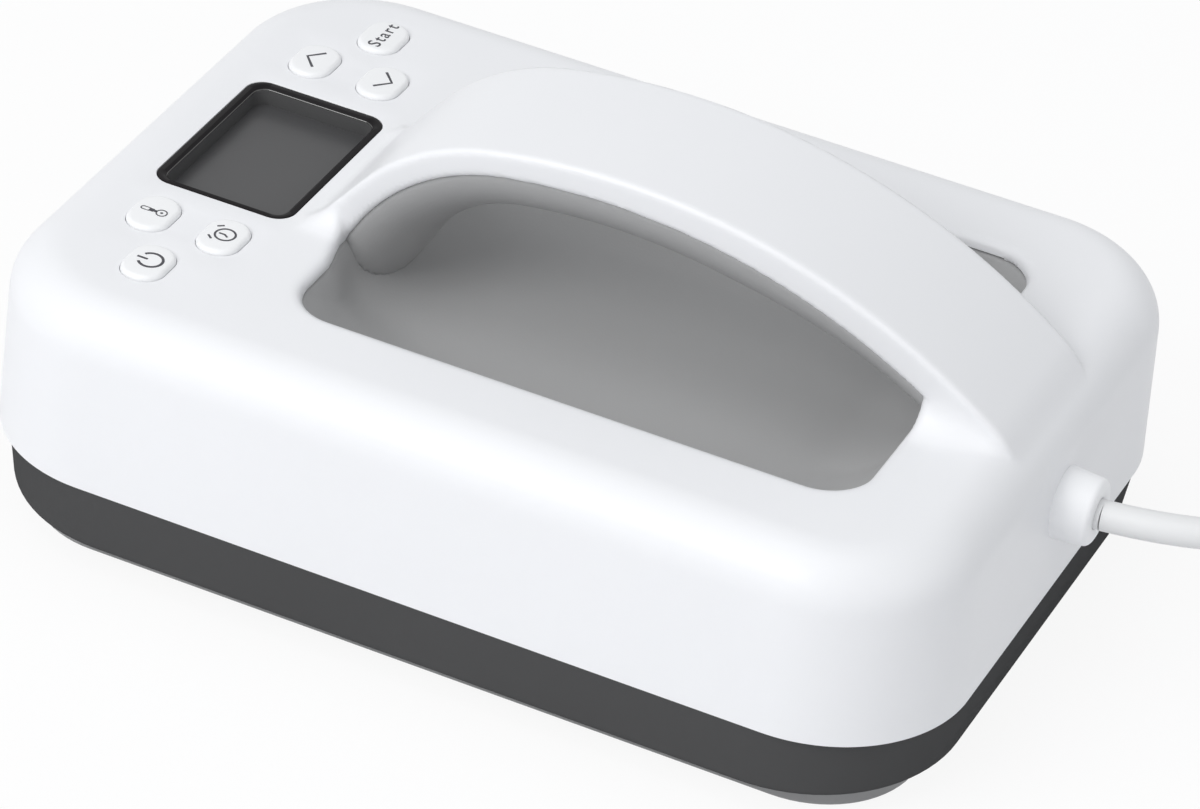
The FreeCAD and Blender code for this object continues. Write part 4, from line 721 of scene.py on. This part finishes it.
BASE_LOW = 6.15
SKIN_AT_SEAM = 2.4
SKIN_GROWTH = 1.9
SEAM_EDGE = 2.0
LEVEL_TOLERANCE = 0.01
PUSH_AT_SEAM = 0.15
PUSH_GROWTH = 0.85
FOOT_DROP = 0.5
FOOT_SHARE = (0.6, 1.0)
SLOPE_STEP = 0.05

band_mesh = NODES["base_ring"].data.copy()
to_world = NODES["base_ring"].matrix_world
places = np.array([to_world @ vertex.co for vertex in band_mesh.vertices]) / MM
here = rectangle(places[:, 0], places[:, 1], *BODY_HALF, BODY_CORNER)
slope_x = rectangle(places[:, 0] + SLOPE_STEP, places[:, 1], *BODY_HALF, BODY_CORNER) - here
slope_y = rectangle(places[:, 0], places[:, 1] + SLOPE_STEP, *BODY_HALF, BODY_CORNER) - here
down = np.clip((SEAM - places[:, 2]) / (SEAM - BASE_LOW), 0, 1)
skin_side = (here > -SKIN_AT_SEAM - SKIN_GROWTH * down) & (places[:, 2] <= SEAM + LEVEL_TOLERANCE)
skin_side &= (places[:, 2] < SEAM - LEVEL_TOLERANCE) | (here > -SEAM_EDGE)
push = PUSH_AT_SEAM + PUSH_GROWTH * down * (slope_y / SLOPE_STEP) ** 2
push = np.where(skin_side, push, 0)
places[:, 2] -= np.where(skin_side, FOOT_DROP * ease(down, *FOOT_SHARE), 0)
places[:, 0] += push * slope_x / SLOPE_STEP
places[:, 1] += push * slope_y / SLOPE_STEP
band = add_mesh("dark_band", places, [tuple(face.vertices) for face in band_mesh.polygons])
sharpen(band, 30)
piece(band, DARK, "press", "dark_ring", "base_ring")

# Display rim, from its outside over the top and down the inner slope to the step over the window

RIM_WIDTH = 1.9
RIM_OUT = 1.6
RIM_STEP = 0.7
RIM_CORNER = 2.7
SLOPE_FOOT = 0.5
EDGE_FOOT = 0.75
STEP_DEPTH = 4.0
RIM_DEPTH = 5.2
RIM_PROFILE = [
    (RIM_OUT, ROOF), (0.0, ROOF), (0.0, TOP - 0.25), (-0.08, TOP - 0.07), (-0.25, TOP), (-1.2, TOP),
    (-RIM_WIDTH + 0.14, TOP - SLOPE_FOOT), (-RIM_WIDTH + 0.04, TOP - 0.6),
    (-RIM_WIDTH, TOP - EDGE_FOOT), (-RIM_WIDTH, TOP - STEP_DEPTH),
    (-RIM_WIDTH + RIM_STEP, TOP - STEP_DEPTH), (-RIM_WIDTH + RIM_STEP, TOP - RIM_DEPTH),
    (RIM_OUT, TOP - RIM_DEPTH),
]
WALL_SLOT = 1
EDGE_SLOT = 2
WALL_TOP = 0.8
WALL_REACH = 0.02
EDGE_REACH = 0.13

rings = [loop(DISPLAY_X, 0, DISPLAY_HALF[0] + grow, DISPLAY_HALF[1] + grow,
              max(DISPLAY_CORNER + grow, RIM_CORNER), z) for grow, z in RIM_PROFILE]
display = loft("display_rim", rings, closed=True)
sharpen(display, 40)
piece(display, BLACK, "press", "display_black", "display_frame")
display.data.materials.append(RECESS)
display.data.materials.append(BRIGHT)
inner_half = [half - RIM_WIDTH for half in DISPLAY_HALF]
for face in display.data.polygons:
    reach_x = abs(face.center.x / MM - DISPLAY_X) - inner_half[0]
    reach = max(reach_x, abs(face.center.y / MM) - inner_half[1])
    depth = TOP - face.center.z / MM
    if reach < WALL_REACH and WALL_TOP < depth < STEP_DEPTH:
        face.material_index = WALL_SLOT
    elif reach < EDGE_REACH and SLOPE_FOOT < depth < WALL_TOP:
        face.material_index = EDGE_SLOT

# Buttons and their printed marks

STEM_RADIUS = 2.0
STEM_LOW = 52.5
LIP = 1.0
LIP_LOW = 54.2
LIP_HIGH = 55.15
CAP_WALL_TOP = 57.75
CAP_ROUND = 0.95
CAP_ROUND_TOP = 58.78
CAP_ROUND_STEPS = 7
DOME = [(-2.4, BUTTON_TOP - 0.004), (-4.0, BUTTON_TOP)]
INK_LOW = BUTTON_TOP - 0.02
INK_HIGH = BUTTON_TOP + 0.04


def button(name, x, y):
    """Domed cap with its lip and stem."""
    rings = [loop(x, y, STEM_RADIUS, STEM_RADIUS, STEM_RADIUS, z) for z in (STEM_LOW, LIP_LOW)]
    levels = [(LIP, LIP_LOW), (LIP, LIP_HIGH), (0.0, LIP_HIGH), (0.0, CAP_WALL_TOP)]
    for step in range(CAP_ROUND_STEPS + 1):
        angle = math.pi / 2 * step / CAP_ROUND_STEPS
        levels.append((-CAP_ROUND * (1 - math.cos(angle)), TOP + (CAP_ROUND_TOP - TOP) * math.sin(angle)))
    for grow, z in levels + DOME:
        rings.append(loop(x, y, BUTTON_HALF[0] + grow, BUTTON_HALF[1] + grow, BUTTON_CORNER + grow, z))
    cap = loft("cap_" + name, rings, caps=True)
    sharpen(cap, 45)
    piece(cap, BUTTON, name + "_button", "white_button", "button_" + name)


def line_sides(points, width, closed):
    """Left and right side of a flat line of constant width."""
    line = [Vector((a, b, 0)) for a, b in points]
    left, right = [], []
    for index, place in enumerate(line):
        before = line[index - 1] if index or closed else place
        after = line[(index + 1) % len(line)] if index + 1 < len(line) or closed else place
        way = (after - before).normalized()
        across = Vector((-way.y, way.x, 0)) * width / 2
        left.append(place + across)
        right.append(place - across)
    return left, right


def legend(name, body, x, y, strokes):
    """Printed icon of raised strokes, whose points count rightwards and away from the reader."""
    work = bmesh.new()
    for points, width, closed in strokes:
        rows = []
        for pair in zip(*line_sides(points, width, closed)):
            rows.append([work.verts.new(((x - side.y) * MM, (y + side.x) * MM, z * MM))
                         for side in pair for z in (INK_LOW, INK_HIGH)])
        spans = len(rows) if closed else len(rows) - 1
        for index in range(spans):
            one, two = rows[index], rows[(index + 1) % len(rows)]
            for a, b in ((0, 1), (1, 3), (3, 2), (2, 0)):
                work.faces.new((one[a], one[b], two[b], two[a]))
        if not closed:
            for row in (rows[0], rows[-1]):
                work.faces.new((row[0], row[1], row[3], row[2]))
    bmesh.ops.recalc_face_normals(work, faces=work.faces)
    mesh = bpy.data.meshes.new("icon_" + name)
    work.to_mesh(mesh)
    work.free()
    piece(add_object("icon_" + name, mesh), INK, body, "switch_black")


def ring_line(centre_x, centre_y, radius, start=0, stop=360, steps=40):
    """Points along a circle or an arc, with its angles in degrees."""
    count = steps if stop - start == 360 else steps + 1
    angles = [math.radians(start + (stop - start) * index / steps) for index in range(count)]
    return [(centre_x + radius * math.cos(angle), centre_y + radius * math.sin(angle))
            for angle in angles]


# Strokes of each mark: points from the middle of the cap, width, and whether the line is closed
STROKES = {
    "power": [
        (ring_line(0.2, -0.4, 2.35, 125, 415), 0.55, False),
        ([(0.2, 0.25), (0.2, 2.45)], 0.5, False)],
    "temperature": [
        (ring_line(0, -1.7, 1.05), 0.26, True), (ring_line(0, -1.7, 0.15), 0.3, True),
        (ring_line(0, 2.2, 0.5, 0, 180, 12) + [(-0.5, 0.9), (0.5, 0.9)], 0.24, True),
        ([(0, -0.7), (0, 0.0)], 0.7, False), ([(0, 0.0), (0, 0.95)], 1.0, False)],
    "timer": [
        (ring_line(0, -0.35, 2.0), 0.42, True),
        ([(0, 1.0), (0, -0.25), (-0.6, -1.1)], 0.42, False),
        ([(-1.6, 2.45), (-2.55, 1.35)], 0.42, False), ([(1.9, 2.4), (2.75, 1.25)], 0.42, False)],
    "up": [([(-3.1, -0.95), (0.05, 1.75), (3.0, -0.95)], 0.55, False)],
    "down": [([(-2.75, 0.75), (0.2, -1.95), (3.2, 0.75)], 0.55, False)],
}
for name, (x, y) in BUTTONS.items():
    button(name, x, y)
    if name in STROKES:
        legend(name, name + "_button", x, y, STROKES[name])

# Word on the start button

WORD_SIZE = 3.85
WORD_SPACING = 1.25
WORD_SWELL = 0.03
WORD_Z = BUTTON_TOP + 0.01

text = bpy.data.curves.new("word_start", "FONT")
text.body = "Start"
text.size = WORD_SIZE * MM
text.space_character = WORD_SPACING
text.extrude = WORD_SWELL * MM
text.offset = WORD_SWELL * MM
text.align_x = "CENTER"
text.align_y = "CENTER"
text.resolution_u = 6
word = add_object("word_start", text)
word.rotation_euler = (0, 0, math.pi / 2)
word.location = (BUTTONS["start"][0] * MM, BUTTONS["start"][1] * MM, WORD_Z * MM)
piece(word, INK, "start_button", "switch_black")

# Collar at the cord's outlet, with pairs of distance from the wall and radius

COLLAR_PLACE = (98.9, 0, 38.6)
COLLAR_END = (6.4, 6.72)
COLLAR_ROUND = 1.3
COLLAR_ROUND_STEPS = 6

collar_profile = [(-4.0, 3.0), (-4.0, 7.0), (-2.5, 7.0), (-2.5, 5.0), (0.0, 5.0), (0.0, 7.2),
                  (0.6, 7.17), (3.8, 6.95), (6.3, 6.75)]
for step in range(COLLAR_ROUND_STEPS + 1):
    angle = math.pi / 2 * step / COLLAR_ROUND_STEPS
    collar_profile.append((COLLAR_END[0] + COLLAR_ROUND * math.sin(angle),
                           COLLAR_END[1] - COLLAR_ROUND * (1 - math.cos(angle))))
collar_profile += [(7.7, 3.4), (7.55, 3.15), (7.1, 3.03)]
gland = turn_profile("collar", collar_profile, COLLAR_PLACE, (1, 0, 0))
sharpen(gland, 50)
piece(gland, COLLAR, "press", "white_gland", "cord_gland")

# Tie round the coil, with a fine bevel on its edges

TIE_THICK = 0.7
TIE_BEVEL = (0.1, 0.2)
TIE_CORNER = 3.2

low, high = [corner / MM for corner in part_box("cord_tie")]
middle, half = (low + high) / 2, (high - low) / 2
inner_edge = -TIE_THICK + TIE_BEVEL[0]
flat = half.y - TIE_BEVEL[1]
rings = []
for grow, y in ((0.0, -flat), (0.0, flat), (-TIE_BEVEL[0], half.y), (inner_edge, half.y),
                (-TIE_THICK, flat), (-TIE_THICK, -flat), (inner_edge, -half.y), (-TIE_BEVEL[0], -half.y)):
    rings.append([(middle.x + across, middle.y + y, middle.z + height) for across, height, level in
                  loop(0, 0, half.x + grow, half.z + grow, TIE_CORNER + grow, 0)])
tie = loft("cord_strap", rings, closed=True)
sharpen(tie, 40)
piece(tie, COLLAR, "press", "clamp_plastic", "cord_tie")

# Plug

plug = add_mesh("plug", *polygonise(plug_field, *PLUG_BOX, PLUG_CELL))
sharpen(plug, 60)
piece(plug, COLLAR, "press", "white_gland", "plug_body")

# Floor, world and lights, with their places and sizes in metres

FLOOR_HALF = 6
FLOOR_Z = -0.0002
FLOOR_COLOUR = (0.9, 0.9, 0.91, 1)
PURE_WHITE = (1, 1, 1, 1)
BARE_FLOOR_SHARE = 0.9
AMBIENT_COLOUR = (0.96, 0.98, 1.0, 1)
AMBIENT_STRENGTH = 0.55
AIM = (0, 0, 0.04)

floor_mesh = bpy.data.meshes.new("floor")
corners = [(-FLOOR_HALF, -FLOOR_HALF, 0), (FLOOR_HALF, -FLOOR_HALF, 0),
           (FLOOR_HALF, FLOOR_HALF, 0), (-FLOOR_HALF, FLOOR_HALF, 0)]
floor_mesh.from_pydata(corners, [], [(0, 1, 2, 3)])
floor = add_object("floor", floor_mesh)
floor.location.z = FLOOR_Z


def bare_rays(tree):
    """One for camera, glossy and transmission rays."""
    path = tree.nodes.new("ShaderNodeLightPath")
    total = path.outputs["Is Camera Ray"]
    for name in ("Is Glossy Ray", "Is Transmission Ray"):
        more = tree.nodes.new("ShaderNodeMath")
        more.operation = "MAXIMUM"
        tree.links.new(total, more.inputs[0])
        tree.links.new(path.outputs[name], more.inputs[1])
        total = more.outputs[0]
    return total


pale = bpy.data.materials.new("floor_white")
pale.use_nodes = True
tree = pale.node_tree
tree.nodes.remove(tree.nodes["Principled BSDF"])
matte = tree.nodes.new("ShaderNodeBsdfDiffuse")
matte.inputs["Color"].default_value = FLOOR_COLOUR
glow = tree.nodes.new("ShaderNodeEmission")
glow.inputs["Color"].default_value = PURE_WHITE
glow.inputs["Strength"].default_value = 1.0
share = tree.nodes.new("ShaderNodeMath")
share.operation = "MULTIPLY"
share.inputs[1].default_value = BARE_FLOOR_SHARE
blend = tree.nodes.new("ShaderNodeMixShader")
tree.links.new(bare_rays(tree), share.inputs[0])
tree.links.new(share.outputs[0], blend.inputs["Fac"])
tree.links.new(matte.outputs[0], blend.inputs[1])
tree.links.new(glow.outputs[0], blend.inputs[2])
tree.links.new(blend.outputs[0], tree.nodes["Material Output"].inputs["Surface"])
floor_mesh.materials.append(pale)

world = bpy.data.worlds.new("studio")
bpy.context.scene.world = world
world.use_nodes = True
tree = world.node_tree
ambient = tree.nodes["Background"]
ambient.inputs["Color"].default_value = AMBIENT_COLOUR
ambient.inputs["Strength"].default_value = AMBIENT_STRENGTH
white = tree.nodes.new("ShaderNodeBackground")
white.inputs["Color"].default_value = PURE_WHITE
white.inputs["Strength"].default_value = 1.0
either = tree.nodes.new("ShaderNodeMixShader")
tree.links.new(bare_rays(tree), either.inputs["Fac"])
tree.links.new(ambient.outputs[0], either.inputs[1])
tree.links.new(white.outputs[0], either.inputs[2])
tree.links.new(either.outputs[0], tree.nodes["World Output"].inputs["Surface"])


def softbox(name, place, size, power):
    """Rectangular area light aimed at the object."""
    data = bpy.data.lights.new(name, "AREA")
    data.shape = "RECTANGLE"
    data.size, data.size_y = size
    data.energy = power
    lamp = add_object(name, data)
    lamp.location = place
    lamp.rotation_euler = (Vector(AIM) - Vector(place)).to_track_quat("-Z", "Y").to_euler()


softbox("overhead", place=(-0.15, -0.35, 1.3), size=(1.0, 0.7), power=3.0)
softbox("front_left", place=(-0.6, -1.3, 1.2), size=(1.1, 0.8), power=14.0)
softbox("right_fill", place=(1.3, -0.2, 0.7), size=(0.9, 0.9), power=1.0)

bpy.context.scene.view_settings.view_transform = "Standard"
bpy.context.view_layer.update()
